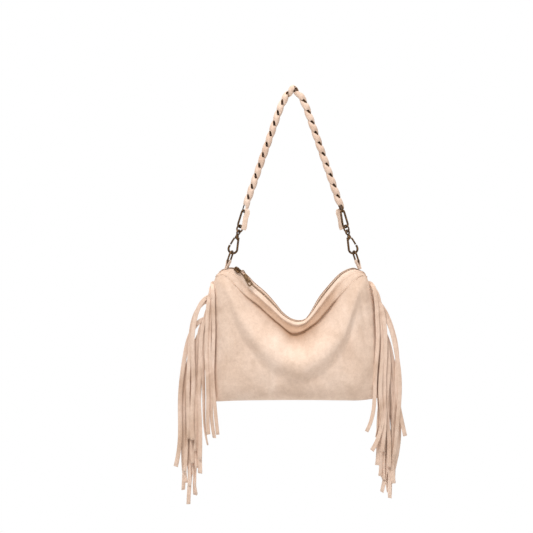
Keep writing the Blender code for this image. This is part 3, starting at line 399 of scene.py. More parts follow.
EYE_CENTRE = HOOK_LENGTH + COLLAR_HEIGHT + EYE_RADIUS
EYE_TOP = EYE_CENTRE + EYE_RADIUS
RING_CENTRE = EYE_TOP - (EYE_WIRE + STRAP_RING_WIRE) / 2.0 - GAP + STRAP_RING_RADIUS
RING_TOP = RING_CENTRE + STRAP_RING_RADIUS
END_LINK_FOOT = RING_TOP - (STRAP_RING_WIRE + END_LINK_WIRE) / 2.0 - GAP
LAST_JOINT = END_LINK_FOOT + END_LINK_LENGTH - (END_LINK_WIRE + LINK_PLAY) / 2.0
D_RING_TOP = (HOOK_WIRE + D_RING_WIRE) / 2.0 + GAP
D_RING_BAR = D_RING_TOP - (D_RING_LENGTH - D_RING_WIRE)
TAB_DEPTH = TAB_LENGTH - D_RING_BAR
APEX = Vector((0.0, 0.0, APEX_HEIGHT))
STRAIGHT = (LINKS_PER_SIDE - 2) * LINK_PITCH
APEX_STAGGER = (LINK_WIRE + LINK_PLAY) * math.cos(math.radians(FIRST_LINK_LEAN))


def lean(side, degrees):
    angle = math.radians(degrees)
    return Vector((side * math.sin(angle), 0.0, -math.cos(angle)))


def leg_line():
    second = APEX + LINK_PITCH * (lean(1, FIRST_LINK_LEAN) + lean(1, SECOND_LINK_LEAN))
    across = HANGER_HALF_SPAN - second.x
    length = STRAIGHT + LAST_JOINT
    hanger = second + Vector((across, 0.0, -math.sqrt(length * length - across * across)))
    return hanger, (second - hanger).normalized()


HANGER, LEG_UP = leg_line()


def side_of(point, side):
    return Vector((side * point.x, point.y, point.z))


def chain_joints(side):
    joints = [APEX + Z_AXIS * (side * APEX_STAGGER / 2.0)]
    joints.append(joints[-1] + LINK_PITCH * lean(side, FIRST_LINK_LEAN))
    joints.append(joints[-1] + LINK_PITCH * lean(side, SECOND_LINK_LEAN))
    outward = Vector((LEG_UP.z, 0.0, -LEG_UP.x))
    foot = side_of(HANGER + LEG_UP * LAST_JOINT + outward * END_LINK_OFFSET, side)
    step = (foot - joints[-1]) / (LINKS_PER_SIDE - 2)
    for _ in range(LINKS_PER_SIDE - 2):
        joints.append(joints[-1] + step)
    return joints


LEFT_JOINTS = chain_joints(-1)
RIGHT_JOINTS = chain_joints(1)
STRAP_LINE = LEFT_JOINTS[:0:-1] + [APEX] + RIGHT_JOINTS[1:]
CHAIN_SPANS = list(zip(LEFT_JOINTS[:0:-1], LEFT_JOINTS[-2::-1])) + list(zip(RIGHT_JOINTS, RIGHT_JOINTS[1:]))


def rounded_line(points, radii, step):
    path = [points[0]]
    for i in range(1, len(points) - 1):
        corner = points[i]
        back = (points[i - 1] - corner).normalized()
        ahead = (points[i + 1] - corner).normalized()
        turn = math.pi - back.angle(ahead)
        if turn < 1e-4:
            path.append(corner)
            continue
        reach = radii[i] * math.tan(turn / 2.0)
        centre = corner + (back + ahead).normalized() * (radii[i] / math.cos(turn / 2.0))
        arm = corner + back * reach - centre
        axis = back.cross(ahead).normalized()
        count = max(2, int(turn * radii[i] / step) + 1)
        for k in range(count + 1):
            path.append(centre + Matrix.Rotation(-turn * k / count, 3, axis) @ arm)
    path.append(points[-1])
    return path


class Line:
    """A path measured by length from its middle point."""

    def __init__(self, points, zero):
        self.points = points
        self.at = [0.0]
        for a, b in zip(points, points[1:]):
            self.at.append(self.at[-1] + (b - a).length)
        best = min(range(len(points)), key=lambda i: (points[i] - zero).length)
        shift = self.at[best]
        self.at = [value - shift for value in self.at]

    def read(self, s):
        at = self.at
        i = 0
        if s >= at[-1]:
            i = len(at) - 2
        else:
            while i < len(at) - 2 and at[i + 1] < s:
                i += 1
        t = (s - at[i]) / (at[i + 1] - at[i])
        return self.points[i].lerp(self.points[i + 1], t)

    def tangent(self, s, width=2.0 * MM):
        return (self.read(s + width) - self.read(s - width)).normalized()


def strap_line():
    radii = [LEAN_RADIUS] * len(STRAP_LINE)
    radii[LINKS_PER_SIDE] = APEX_RADIUS
    path = rounded_line(STRAP_LINE, radii, 0.6 * MM)
    turn = math.pi - lean(-1, FIRST_LINK_LEAN).angle(lean(1, FIRST_LINK_LEAN))
    top = APEX - Z_AXIS * (APEX_RADIUS * (1.0 / math.cos(turn / 2.0) - 1.0))
    return Line(path, top)


def strap_twist(s):
    share = smooth_step(abs(s) / TWIST_RUN)
    end = STRAP_TWIST[-1 if s < 0.0 else 1]
    return math.radians(APEX_TWIST + (end - APEX_TWIST) * share)


# Chain

def link_loop(end_twist=45.0, around=8):
    half = (LINK_PITCH + LINK_WIRE + LINK_PLAY) / 2.0
    radius = (LINK_WIDTH - LINK_WIRE) / 2.0
    flat = half - radius
    points = []
    for end in (1, -1):
        for k in range(around + 1):
            angle = math.pi / 2.0 - math.pi * k / around
            points.append((end * radius * math.sin(angle), end * (flat + radius * math.cos(angle))))
        for k in range(1, 5):
            t = k / 5.0
            points.append((-end * radius, end * flat * (1.0 - 2.0 * t)))
    loop = []
    for across, along in points:
        twist = math.radians(end_twist) * along / half
        loop.append(Vector((across * math.cos(twist), across * math.sin(twist), along)))
    return loop


def place_on(a, b, twist):
    along = (b - a).normalized()
    outer = along.cross(Y_AXIS).normalized()
    if outer.z < 0.0:
        outer = -outer
    front = along.cross(outer)
    x_dir = outer * math.cos(twist) + front * math.sin(twist)
    matrix = Matrix((x_dir, along.cross(x_dir), along)).transposed().to_4x4()
    matrix.translation = (a + b) / 2.0
    return matrix


def make_chain(mat):
    loop = link_loop()
    for i, (a, b) in enumerate(CHAIN_SPANS):
        matrix = place_on(a, b, strap_twist((i + 0.5 - LINKS_PER_SIDE) * LINK_PITCH))
        name = "strap_link_%02d" % (i + 1)
        piece = wire_mesh("chain_link_%02d" % (i + 1), [matrix @ p for p in loop], LINK_WIRE / 2.0, True, mat)
        dress(piece, "strap", "antique_bronze", name)


def dress(piece, body, slot, *nodes):
    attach(piece, body)
    if nodes:
        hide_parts(*nodes)
    return piece


# Lacing

def lace_half_width(theta, s):
    away = abs(math.remainder(theta, 2.0 * math.pi))
    half_angle = math.radians(LACE_WINDOW_HALF_ANGLE)
    window = 0.0
    if away < half_angle:
        window = math.cos(math.pi * away / (2.0 * half_angle)) ** 2
    gap = LACE_SPACING + (LACE_WINDOW - LACE_SPACING) * window
    narrowing = LACE_APEX_NARROWING * math.exp(-((s / (0.65 * LINK_PITCH)) ** 2))
    return (LINK_PITCH - gap) / 2.0 - narrowing


def lace_point(line, s, theta, lift):
    along = line.tangent(s)
    outer = Y_AXIS.cross(along)
    if outer.z < 0.0:
        outer = -outer
    angle = theta + math.radians(LACE_TURN[-1 if s < 0.0 else 1]) * smooth_step(abs(s) / LACE_TURN_RUN)
    radius = LINK_WIDTH / 2.0 + LACE_ROOM + lift
    bulge = LACE_APEX_BULGE * math.exp(-((s / LACE_BULGE_REACH) ** 2)) * (0.5 + 0.5 * math.cos(angle))
    return line.read(s) + (outer * math.cos(angle) - Y_AXIS * math.sin(angle)) * (radius + bulge)


def make_lacing(mat):
    """A flat suede strip wound round the chain, open over the outer side of each link."""
    line = strap_line()
    turns = LINKS_PER_SIDE - 0.5
    per_turn = 30
    across = 8
    rng = random.Random(5)
    sway = [rng.uniform(-0.25, 0.25) * MM for _ in range(int(2 * turns) + 3)]

    def place(u, w):
        turn = -turns + 2.0 * turns * w
        theta = -2.0 * math.pi * turn
        s_mid = turn * LINK_PITCH
        half = lace_half_width(theta, s_mid)
        v = 2.0 * u - 1.0
        k = int(turn + turns)
        drift = sway[k] + (sway[k + 1] - sway[k]) * smooth_step(turn + turns - k)
        edge_roll = 0.35 * MM * (abs(v) ** 4)
        crown = LACE_CROWN * (1.0 - v * v) - 0.35 * MM
        ripple = 0.16 * MM * noise.noise(Vector((v * 2.0, turn * 9.0, 3.0)))
        return lace_point(line, s_mid + half * v + drift * (1.0 - v * v), theta, crown - edge_roll + ripple)

    bm = sheet_grid(across, int(2 * turns * per_turn), place)
    lace = link_object("suede_lacing", bm, mat)
    thicken(lace, LACE_THICKNESS, 1.0)
    cut_edge(lace, 0.3 * MM)
    dress(lace, "strap", "suede", "strap_lacing")


# Fittings on each leg: +Z up the leg, +X to its outer side

END_TURN = {-1: 26.0, 1: 32.0}
RING_TURN = {-1: -40.0, 1: -50.0}
EYE_TURN = {side: RING_TURN[side] + 90.0 for side in (-1, 1)}


def leg_matrix(side):
    up = side_of(LEG_UP, side)
    outward = X_AXIS * side
    outward = (outward - up * outward.dot(up)).normalized()
    matrix = Matrix((outward, up.cross(outward), up)).transposed().to_4x4()
    matrix.translation = side_of(HANGER, side)
    return matrix


def turned(degrees, height=0.0):
    return Matrix.Translation((0.0, 0.0, height)) @ Matrix.Rotation(math.radians(degrees), 4, "Z")


def circle_points(radius, count):
    angles = [2.0 * math.pi * k / count for k in range(count)]
    return [Vector((radius * math.sin(a), 0.0, radius * math.cos(a))) for a in angles]


def pear_points(length, low_radius, top_radius, steps):
    points = []
    for k in range(steps + 1):
        a = math.pi * k / steps
        points.append(Vector((-low_radius * math.cos(a), 0.0, low_radius * (1.0 - math.sin(a)))))
    for k in range(steps + 1):
        a = math.pi * k / steps
        points.append(Vector((top_radius * math.cos(a), 0.0, length - top_radius * (1.0 - math.sin(a)))))
    return points


def grown(points, by, plane=Y_AXIS, closed=True):
    """A flat run of points moved outward, so that a thicker wire keeps the same opening."""
    centre = sum(points, Vector()) / len(points)
    count = len(points)
    moved = []
    for i, p in enumerate(points):
        before = points[i - 1] if closed or i else p
        after = points[(i + 1) % count] if closed or i + 1 < count else p
        out = (after - before).cross(plane).normalized()
        if out.dot(p - centre) < 0.0:
            out = -out
        moved.append(p + out * by)
    return moved


def gate_tip():
    return Vector((HOOK_HALF_WIDTH - 1.1 * MM, 0.0, 0.42 * HOOK_LENGTH))


def gate_pivot():
    return Vector((NECK_HALF_WIDTH + 0.2 * MM, 0.0, HOOK_LENGTH - 4.0 * MM))


def hook_outline():
    r = HOOK_HALF_WIDTH
    top = HOOK_LENGTH
    points = [Vector((-NECK_HALF_WIDTH, 0.0, top - 1.5 * MM))]
    points.append(Vector((-NECK_HALF_WIDTH - 1.1 * MM, 0.0, 0.78 * top)))
    points.append(Vector((-r + 1.8 * MM, 0.0, 0.52 * top)))
    points.append(Vector((-r + 0.6 * MM, 0.0, 0.34 * top)))
    for k in range(9):
        angle = math.pi * k / 8.0
        points.append(Vector((-r * math.cos(angle), 0.0, HOOK_BEND_HEIGHT * (1.0 - math.sin(angle)))))
    points.append(Vector((r - 0.2 * MM, 0.0, 0.32 * top)))
    points.append(gate_tip() + Vector((0.3 * MM, 0.0, -1.0 * MM)))
    return points


def turned_profile(profile, steps=24):
    """A body of revolution about Z from (radius, height) pairs, spun from a profile."""
    bm = bmesh.new()
    verts = [bm.verts.new((r, 0.0, z)) for r, z in profile]
    edges = [bm.edges.new(pair) for pair in zip(verts, verts[1:])]
    bmesh.ops.spin(
        bm, geom=verts + edges, cent=(0.0, 0.0, 0.0), axis=(0.0, 0.0, 1.0),
        angle=2.0 * math.pi, steps=steps, use_merge=True,
    )
    bmesh.ops.remove_doubles(bm, verts=bm.verts, dist=1e-6)
    bmesh.ops.recalc_face_normals(bm, faces=bm.faces)
    return bm


def join_mesh(target, bm, matrix):
    """Adds a bmesh, moved by the matrix, to a piece's mesh."""
    bm.transform(matrix)
    mesh = bpy.data.meshes.new("joined")
    bm.to_mesh(mesh)
    bm.free()
    whole = bmesh.new()
    whole.from_mesh(target.data)
    whole.from_mesh(mesh)
    whole.to_mesh(target.data)
    whole.free()
    bpy.data.meshes.remove(mesh)
    target.data.shade_smooth()
    target.data.set_sharp_from_angle(angle=math.radians(40))


def make_fittings(side, metal, nap):
    word = "left_" if side < 0 else "right_"
    leg = leg_matrix(side)
    tilt = Matrix.Rotation(math.atan2(END_LINK_OFFSET, END_LINK_LENGTH), 4, "Y")

    pear = pear_points(END_LINK_LENGTH, (END_LINK_WIDTH - END_LINK_WIRE) / 2.0, (LINK_WIDTH - LINK_WIRE) / 2.0, 12)
    place = leg @ Matrix.Translation((0.0, 0.0, END_LINK_FOOT)) @ tilt @ turned(END_TURN[side])
    piece = wire_mesh(word + "pear_link", [place @ p for p in grown(pear, EXTRA["link"] / 2.0)],
                      (END_LINK_WIRE + EXTRA["link"]) / 2.0, True, metal)
    dress(piece, "strap", "antique_bronze", word + "end_link")

    place = leg @ turned(RING_TURN[side], RING_CENTRE)
    ring = circle_points(STRAP_RING_RADIUS + EXTRA["ring"] / 2.0, 40)
    piece = wire_mesh(word + "round_ring", [place @ p for p in ring],
                      (STRAP_RING_WIRE + EXTRA["ring"]) / 2.0, True, metal)
    dress(piece, "strap", "antique_bronze", word + "strap_ring")

    place = leg @ turned(EYE_TURN[side], EYE_CENTRE)
    piece = wire_mesh(word + "swivel_loop", [place @ p for p in circle_points(EYE_RADIUS + EXTRA["eye"] / 2.0, 32)],
                      (EYE_WIRE + EXTRA["eye"]) / 2.0, True, metal)
    low = HOOK_LENGTH + COLLAR_HEIGHT - EYE_CENTRE
    stem = turned_profile([(0.0, low - 1.0 * MM), (1.0 * MM, low - 1.0 * MM), (1.1 * MM, low - 0.2 * MM),
                           (1.9 * MM, low + 0.5 * MM), (1.3 * MM, low + 1.2 * MM), (0.0, low + 1.3 * MM)])
    join_mesh(piece, stem, place)
    dress(piece, "strap", "antique_bronze", word + "swivel_eye")

    outline = spline_points(hook_outline(), False, 5)
    piece = wire_mesh(word + "snap_hook", [leg @ p for p in grown(outline, EXTRA["hook"] / 2.0, closed=False)],
                      (HOOK_WIRE + EXTRA["hook"]) / 2.0, False, metal)
    top = HOOK_LENGTH + COLLAR_HEIGHT - 0.6 * MM
    collar = turned_profile([
        (0.9 * MM, top), (2.4 * MM, top), (2.9 * MM, top - 0.5 * MM), (2.9 * MM, top - 1.6 * MM),
        (2.5 * MM, top - 2.0 * MM), (3.1 * MM, top - 2.6 * MM), (3.5 * MM, top - 4.2 * MM),
        (3.7 * MM, HOOK_LENGTH - 3.0 * MM), (3.4 * MM, HOOK_LENGTH - 4.6 * MM), (1.2 * MM, HOOK_LENGTH - 5.4 * MM),
        (0.9 * MM, HOOK_LENGTH - 5.4 * MM), (0.9 * MM, top),
    ])
    join_mesh(piece, collar, leg)
    web = bmesh.new()
    corners = [(-4.6, -9.6), (-1.6, -6.6), (2.6, -4.6), (2.4, -2.0), (-2.6, -2.0)]
    face = web.faces.new([web.verts.new((x * MM, -0.8 * MM, HOOK_LENGTH + z * MM)) for x, z in corners])
    out = bmesh.ops.extrude_face_region(web, geom=[face])
    moved = [v for v in out["geom"] if isinstance(v, bmesh.types.BMVert)]
    bmesh.ops.translate(web, verts=moved, vec=(0.0, 1.6 * MM, 0.0))
    bmesh.ops.bevel(web, geom=list(web.edges), offset=0.3 * MM, segments=2, profile=0.5, affect="EDGES", material=-1)
    bmesh.ops.recalc_face_normals(web, faces=web.faces)
    join_mesh(piece, web, leg)
    dress(piece, word + "hook", "antique_bronze", word + "hook")

    pivot, tip = gate_pivot(), gate_tip()
    direction = (tip - pivot).normalized()
    start = pivot + direction * 0.2 * MM
    end = tip - direction * 0.6 * MM
    across = Vector((direction.z, 0.0, -direction.x))
    bar = [start, start.lerp(end, 0.35) - across * 0.2 * MM, start.lerp(end, 0.7) - across * 0.15 * MM, end]
    bar = [leg @ (p + X_AXIS * EXTRA["gate"] / 2.0) for p in spline_points(bar, False, 6)]
    piece = wire_mesh(word + "spring_gate", bar,
                      (GATE_WIRE + EXTRA["gate"]) / 2.0, False, metal)
    dress(piece, word + "gate", "antique_bronze", word + "gate")

    make_d_ring(word, leg, side, metal)
    make_tab(word, leg, side, nap)
    make_tail(word, leg, side, nap)


def make_d_ring(word, leg, side, metal):
    half = (D_RING_WIDTH - D_RING_WIRE) / 2.0
    points = []
    for k in range(25):
        angle = math.pi * k / 24.0
        points.append(Vector((0.0, half * math.cos(angle), D_RING_TOP - half * (1.0 - math.sin(angle)))))
    corner = 1.8 * MM
    for centre_y, turn in ((-half + corner, math.pi), (half - corner, 1.5 * math.pi)):
        for k in range(7):
            angle = turn + 0.5 * math.pi * k / 6.0
            height = D_RING_BAR + corner + corner * math.sin(angle)
            points.append(Vector((0.0, centre_y + corner * math.cos(angle), height)))
    place = leg @ turned(side * D_RING_YAW)
    piece = wire_mesh(word + "dee", [place @ p for p in grown(points, EXTRA["dee"] / 2.0, X_AXIS)],
                      (D_RING_WIRE + EXTRA["dee"]) / 2.0, True, metal)
    dress(piece, "bag", "antique_bronze", word + "d_ring")


def strip_sheet(name, profile, width, thickness, matrix, mat, steps=6, swell=0.0):
    """A strap folded along a profile of (x, z) points, as wide as given along Y."""
    line = spline_points([Vector((x, 0.0, z)) for x, z in profile], False, steps)

    def place(u, w):
        spot = w * (len(line) - 1)
        i = min(int(spot), len(line) - 2)
        point = line[i].lerp(line[i + 1], spot - i)
        wide = width * (1.0 + swell * math.sin(math.pi * w))
        ripple = 0.12 * MM * noise.noise(Vector((u * 3.0, w * 9.0, width * 900.0)))
        return matrix @ (point + Vector((ripple, (u - 0.5) * wide, 0.0)))

    piece = link_object(name, sheet_grid(6, len(line) - 1, place), mat)
    thicken(piece, thickness, 0.0)
    cut_edge(piece, 0.22 * MM)
    return piece


def make_tab(word, leg, side, nap):
    inner = D_RING_WIRE / 2.0 + 1.8 * GAP
    radius = inner + TAB_THICKNESS / 2.0
    low = D_RING_BAR
    foot = -TAB_DEPTH
    profile = [(-TAB_THICKNESS * 0.5 - GAP, foot), (-TAB_THICKNESS * 0.5 - GAP - 0.3 * MM, low - 0.6 * TAB_LENGTH)]
    for k in range(9):
        angle = math.pi * (1.0 - k / 8.0)
        profile.append((radius * math.cos(angle), low + radius * math.sin(angle)))
    profile += [(TAB_THICKNESS * 0.5 + GAP + 0.3 * MM, low - 0.6 * TAB_LENGTH), (TAB_THICKNESS * 0.5 + GAP, foot)]
    place = leg @ turned(side * D_RING_YAW)
    piece = strip_sheet(word + "corner_tab", profile, TAB_WIDTH, TAB_THICKNESS, place, nap, 4, 0.06)
    dress(piece, "bag", "suede", word + "tab")


# Inner offset and lift off the end link, in mm, against the share of the tail's height
TAIL_PATH = (
    (-6.6, 0.0, 0.0), (-6.9, 0.5, 0.16), (-5.2, 0.7, 0.38), (-4.0, 0.3, 0.60),
    (-4.2, 0.2, 0.80), (-2.6, 0.6, 0.93), (-1.2, -0.6, 1.0),
)
TAIL_YAW = 12.0


def make_tail(word, leg, side, nap):
    """The lace's free end: it comes out of the last turn and hangs flat beside the end link."""
    foot = RING_CENTRE + 0.5 * MM
    half = 0.5 * (END_LINK_WIDTH - END_LINK_WIRE) * math.sin(math.radians(END_TURN[side])) + 0.5 * END_LINK_WIRE
    depth = half + EXTRA["link"] + TAIL_THICKNESS
    top = END_LINK_FOOT + END_LINK_LENGTH + 5.0 * MM
    inward = 0.6 * MM if side > 0 else 0.0
    path = [Vector((x * MM - inward, depth + y * MM, foot + (top - foot) * share)) for x, y, share in TAIL_PATH]
    line = spline_points(path, False, 8)
    yaw = math.radians(TAIL_YAW)
    wide_way = Vector((math.cos(yaw), math.sin(yaw), 0.0))
    last = len(line) - 1

    def place(u, w):
        spot = w * last
        i = min(int(spot), last - 1)
        point = line[i].lerp(line[i + 1], spot - i)
        curl = 0.7 * MM * (1.0 - (2.0 * u - 1.0) ** 2) * math.sin(5.0 * w + 0.6)
        return leg @ (point + wide_way * ((u - 0.5) * TAIL_SHOWN) + Vector((0.0, curl, 0.0)))

    piece = link_object(word + "lacing_end", sheet_grid(6, last, place), nap)
    thicken(piece, 1.2 * MM, 0.0)
    cut_edge(piece, 0.22 * MM)
    dress(piece, "strap", "suede", word + "lace_tail")


# Body

SEAM_HALF = GAP / 2.0 + SUEDE
SIDE_SEAM_HALF = SUEDE + GAP + STRIP_THICKNESS / 2.0

# Heights against x of the front lip, the back lip and the fold under the front band, and the two side edges, in mm
FRONT_LIP = (
    (-138, -333), (-131, -326.5), (-124, -323.5), (-116, -323), (-108, -325), (-100, -330), (-90, -341),
    (-80, -352.7), (-69, -363), (-50, -380.5), (-32, -397), (-19, -409), (-5.6, -417), (8.4, -420.6),
    (22, -417), (35, -404), (49, -385.5), (67, -361.5), (83, -341.5), (93, -332), (107, -325.5), (118, -325),
    (127, -328), (133, -334),
)
BACK_LIP = (
    (-138, -332), (-131, -325.5), (-124, -321.5), (-116, -319.5), (-108, -319.5), (-100, -321.5), (-89, -328),
    (-80, -336), (-72, -344.7), (-50, -364), (-32, -384.4), (-19, -401), (-5.6, -411.7), (8.4, -416.2),
    (22, -414), (30, -404.5), (47, -374.4), (67, -349.3), (87, -329.4), (107, -320.3), (117, -321.5),
    (127, -326.5), (133, -333),
)
FRONT_FOLD = (
    (-138, -335), (-127, -331), (-115, -339), (-103, -352), (-85, -370), (-64, -386.5), (-41, -407.5),
    (-19, -426), (-5.6, -437), (5, -438.5), (17.8, -434.5), (24, -430.6), (43, -417), (62, -396), (72, -383.5),
    (81, -373.5), (93, -359), (107, -344), (118, -335.5), (127, -333), (133, -336),
)
BACK_FOLD = (
    (-138, -336), (-127, -338), (-110, -350), (-90, -362), (-60, -386), (-30, -416), (-5, -438), (10, -441),
    (30, -428), (55, -398), (80, -368), (107, -346), (127, -336), (133, -337),
)
COWL = (
    (-140, -352), (-118, -368), (-103, -398), (-86, -426), (-60, -459), (-33, -484), (8.7, -498), (36, -490),
    (59, -476), (92, -437), (109, -392), (118, -368), (140, -350),
)
LEFT_EDGE = (
    (-566, -142.5), (-520, -144), (-480, -144.6), (-400, -146), (-365, -146.5), (-352, -145.6), (-341, -142.5),
    (-332, -138), (-326, -132), (-322, -125),
)
RIGHT_EDGE = (
    (-562, 153.8), (-549, 156), (-490, 156.4), (-430, 151.5), (-382, 147), (-348, 138.5), (-335, 133.5),
    (-327, 128.5), (-322, 122),
)
BOTTOM_EDGE = ((-145, -565.5), (-100, -563.6), (-40, -562.8), (30, -562.6), (90, -563.2), (125, -563), (157, -558.5))


def read_mm(stations, x):
    return through(stations, x / MM) * MM


def edge_x(side, z):
    return read_mm(LEFT_EDGE if side < 0 else RIGHT_EDGE, z)


def across(v, z):
    """Where the column v stands at height z."""
    left, right = edge_x(-1, z), edge_x(1, z)
    return left + (right - left) * 0.5 * (v + 1.0)


def on_curve(v, curve):
    """The point of column v on one of the curves, as (x, z)."""
    z = read_mm(curve, v * 132.0 * MM)
    x = across(v, z)
    for _ in range(5):
        z = 0.5 * (z + read_mm(curve, x))
        x = across(v, z)
    return x, z


def fullness(v, power=2.4, sharp=0.62):
    return max(0.0, 1.0 - abs(v) ** power) ** sharp


def bell(x, centre, width):
    return math.exp(-(((x - centre) / width) ** 2))


def fold_depth(x):
    """How deep the fold under the front band is at x: full in the middle, gone towards the corners."""
    return smooth_step((x / MM + 112.0) / 46.0) * smooth_step((104.0 - x / MM) / 40.0)


def wrinkles(v, w, x, z, face):
    run, tall = x / MM, z / MM
    seed = 4.0 if face < 0 else 29.0
    lift = 0.0
    if face < 0:
        folds = (
            (118.0, -470.0, 0.80, 0.50, 3.0, 9.0, 46.0), (101.0, -497.0, 0.80, 0.50, -3.0, 9.0, 44.0),
            (134.0, -442.0, 0.85, 0.42, -2.4, 7.0, 40.0), (126.0, -395.0, 0.97, 0.15, -2.6, 5.0, 30.0),
            (-112.0, -470.0, 0.90, -0.36, 1.8, 10.0, 50.0), (-97.0, -480.0, 0.90, -0.36, -1.6, 9.0, 46.0),
            (-30.0, -535.0, 0.60, -0.80, 1.5, 8.0, 40.0), (62.0, -525.0, 0.55, 0.80, -1.5, 9.0, 44.0),
            (-12.0, -462.0, 0.85, -0.5, -1.6, 6.0, 18.0), (16.0, -466.0, 0.85, 0.5, -1.6, 6.0, 18.0),
        )
    else:
        folds = (
            (-90.0, -450.0, 0.85, -0.50, 3.0, 10.0, 60.0), (95.0, -450.0, 0.85, 0.50, 3.0, 10.0, 60.0),
            (0.0, -500.0, 0.30, 0.95, 2.5, 12.0, 80.0), (40.0, -530.0, 0.60, 0.80, -2.0, 9.0, 50.0),
        )
    for cx, cz, nx, nz, height, width, reach in folds:
        off = (run - cx) * nx + (tall - cz) * nz
        along = (tall - cz) * nx - (run - cx) * nz
        lift += height * MM * math.exp(-((off / width) ** 2)) * math.exp(-((along / reach) ** 2))
    wide = noise.noise(Vector((run / 60.0, tall / 66.0, seed)))
    mid = noise.noise(Vector((run / 25.0 + 3.0, tall / 29.0, seed + 7.0)))
    small = noise.noise(Vector((run / 8.0, tall / 9.0, seed + 13.0)))
    lift += (2.4 * wide + 1.3 * mid + 0.35 * small) * MM
    edge = bell(1.0 - abs(v), 0.0, 0.09)
    lift += 0.9 * MM * edge * math.sin(tall / 3.7 + 2.0 * noise.noise(Vector((tall / 30.0, seed, 0.0))))
    hem = bell(w, 0.0, 0.09)
    lift += 1.0 * MM * hem * math.sin(run / 4.6 + 3.0 * noise.noise(Vector((run / 34.0, seed, 1.0))))
    return lift * smooth_step((1.0 - abs(v)) / 0.05) * smooth_step(w / 0.03)


def panel_spot(v, w, face):
    """A place on the front or back panel, between the bottom seam and the fold under the band."""
    _, z_top = on_curve(v, FRONT_FOLD if face < 0 else BACK_FOLD)
    z_low = read_mm(BOTTOM_EDGE, across(v, -0.563))
    z = z_low + (z_top - z_low) * w
    x = across(v, z)
    full = fullness(v, 2.6, 0.70)
    seam = SEAM_HALF + (SIDE_SEAM_HALF - SEAM_HALF) * smooth_step(w / 0.15)
    foot = (1.0 - (1.0 - min(1.0, (z - z_low) / (66.0 * MM))) ** 2.2) ** 0.62
    if face < 0:
        cowl = read_mm(COWL, x)
        shown = smooth_step((x / MM + 132.0) / 40.0) * smooth_step((134.0 - x / MM) / 40.0)
        deep = fold_depth(x)
        top = FOLD_DEPTH - HOLLOW * deep
        if z > cowl:
            share = min(1.0, (z_top - z) / max(1.0 * MM, z_top - cowl))
            depth = top + (FRONT_BELLY - top) * math.sin(0.5 * math.pi * share) ** (1.0 + 0.75 * deep)
        else:
            depth = FRONT_BELLY
        off = (z - cowl) / MM
        depth += shown * (2.6 * math.exp(-((max(off, 0.0) / 26.0) ** 2)) if off > 0.0 else
                          2.6 - 11.5 * smooth_step(-off / 34.0))
    else:
        ridge = 0.46 + 0.30 * abs(v) ** 1.5
        share = smooth_step((w - ridge) / (1.0 - ridge))
        depth = BACK_BELLY - (BACK_BELLY - FOLD_DEPTH) * share
    depth = seam + depth * MM * full * foot
    hold = 1.0 - smooth_step((w - 0.95) / 0.05)
    depth += wrinkles(v, w, x, z, face) * (0.3 + 0.7 * hold) * smooth_step(full / 0.4)
    return Vector((x, face * min(depth, DEEPEST * MM), z))


def slot_spot(v, share):
    """A place on the zip's slope, from the front lip (0) up to the back lip (1)."""
    x, low = on_curve(v, FRONT_LIP)
    _, high = on_curve(v, BACK_LIP)
    return x, low + (high - low) * share


def band_spots(v, face):
    """The band's section from the fold up and over to the zip, as points."""
    full = fullness(v, 3.2, 0.75)
    x_fold, z_fold = on_curve(v, FRONT_FOLD if face < 0 else BACK_FOLD)
    _, z_lip = on_curve(v, FRONT_LIP)
    _, z_back = on_curve(v, BACK_LIP)
    slot = 0.35 * MM + 1.45 * MM * full
    lip = slot / MM / full if full > 0.05 else 0.35
    if face < 0:
        deep = fold_depth(x_fold)
        rise = z_lip - z_fold
        section = (
            (21.4 - 9.9 * deep, z_fold - 0.02 * rise), (21.8 - 6.8 * deep, z_fold + 0.04 * rise),
            (20.6 - 6.0 * deep, z_fold + 0.22 * rise), (17.6 - 6.6 * deep, z_fold + 0.42 * rise),
            (14.4 - 5.2 * deep, z_fold + 0.62 * rise), (10.8 + 0.2 * deep, z_lip - 2.8 * MM),
            (8.8 + 1.2 * deep, z_lip - 0.6 * MM), (6.0 + 1.0 * deep, z_lip + 0.9 * MM),
            (3.4, z_lip + 0.9 * MM + 0.20 * (z_back - z_lip)),
            (lip, z_lip + 0.36 * (z_back - z_lip)),
        )
    else:
        rise = z_back - z_fold
        section = (
            (21.0, z_fold), (24.0, z_fold + 0.16 * rise), (23.0, z_fold + 0.45 * rise), (18.0, z_fold + 0.72 * rise),
            (12.0, z_fold + 0.92 * rise), (7.5, z_back), (4.0, z_back - 1.0 * MM - 0.04 * (z_back - z_lip)),
            (lip, z_lip + 0.72 * (z_back - z_lip)),
        )
    points = []
    for depth, z in section:
        x = across(v, z)
        y = SIDE_SEAM_HALF * (1.0 - full) + depth * MM * full
        points.append(Vector((x, face * max(y, 0.35 * MM), z)))
    return points


PANEL_SHARE = 0.74


def curve_spot(points, share):
    spot = min(share, 0.99999) * (len(points) - 1)
    i = int(spot)
    k = spot - i
    p1, p2 = points[i], points[i + 1]
    p0 = points[i - 1] if i else p1 * 2.0 - p2
    p3 = points[i + 2] if i + 2 < len(points) else p2 * 2.0 - p1
    return 0.5 * (2.0 * p1 + (p2 - p0) * k + (2.0 * p0 - 5.0 * p1 + 4.0 * p2 - p3) * k * k
                  + (3.0 * p1 - p0 - 3.0 * p2 + p3) * k ** 3)


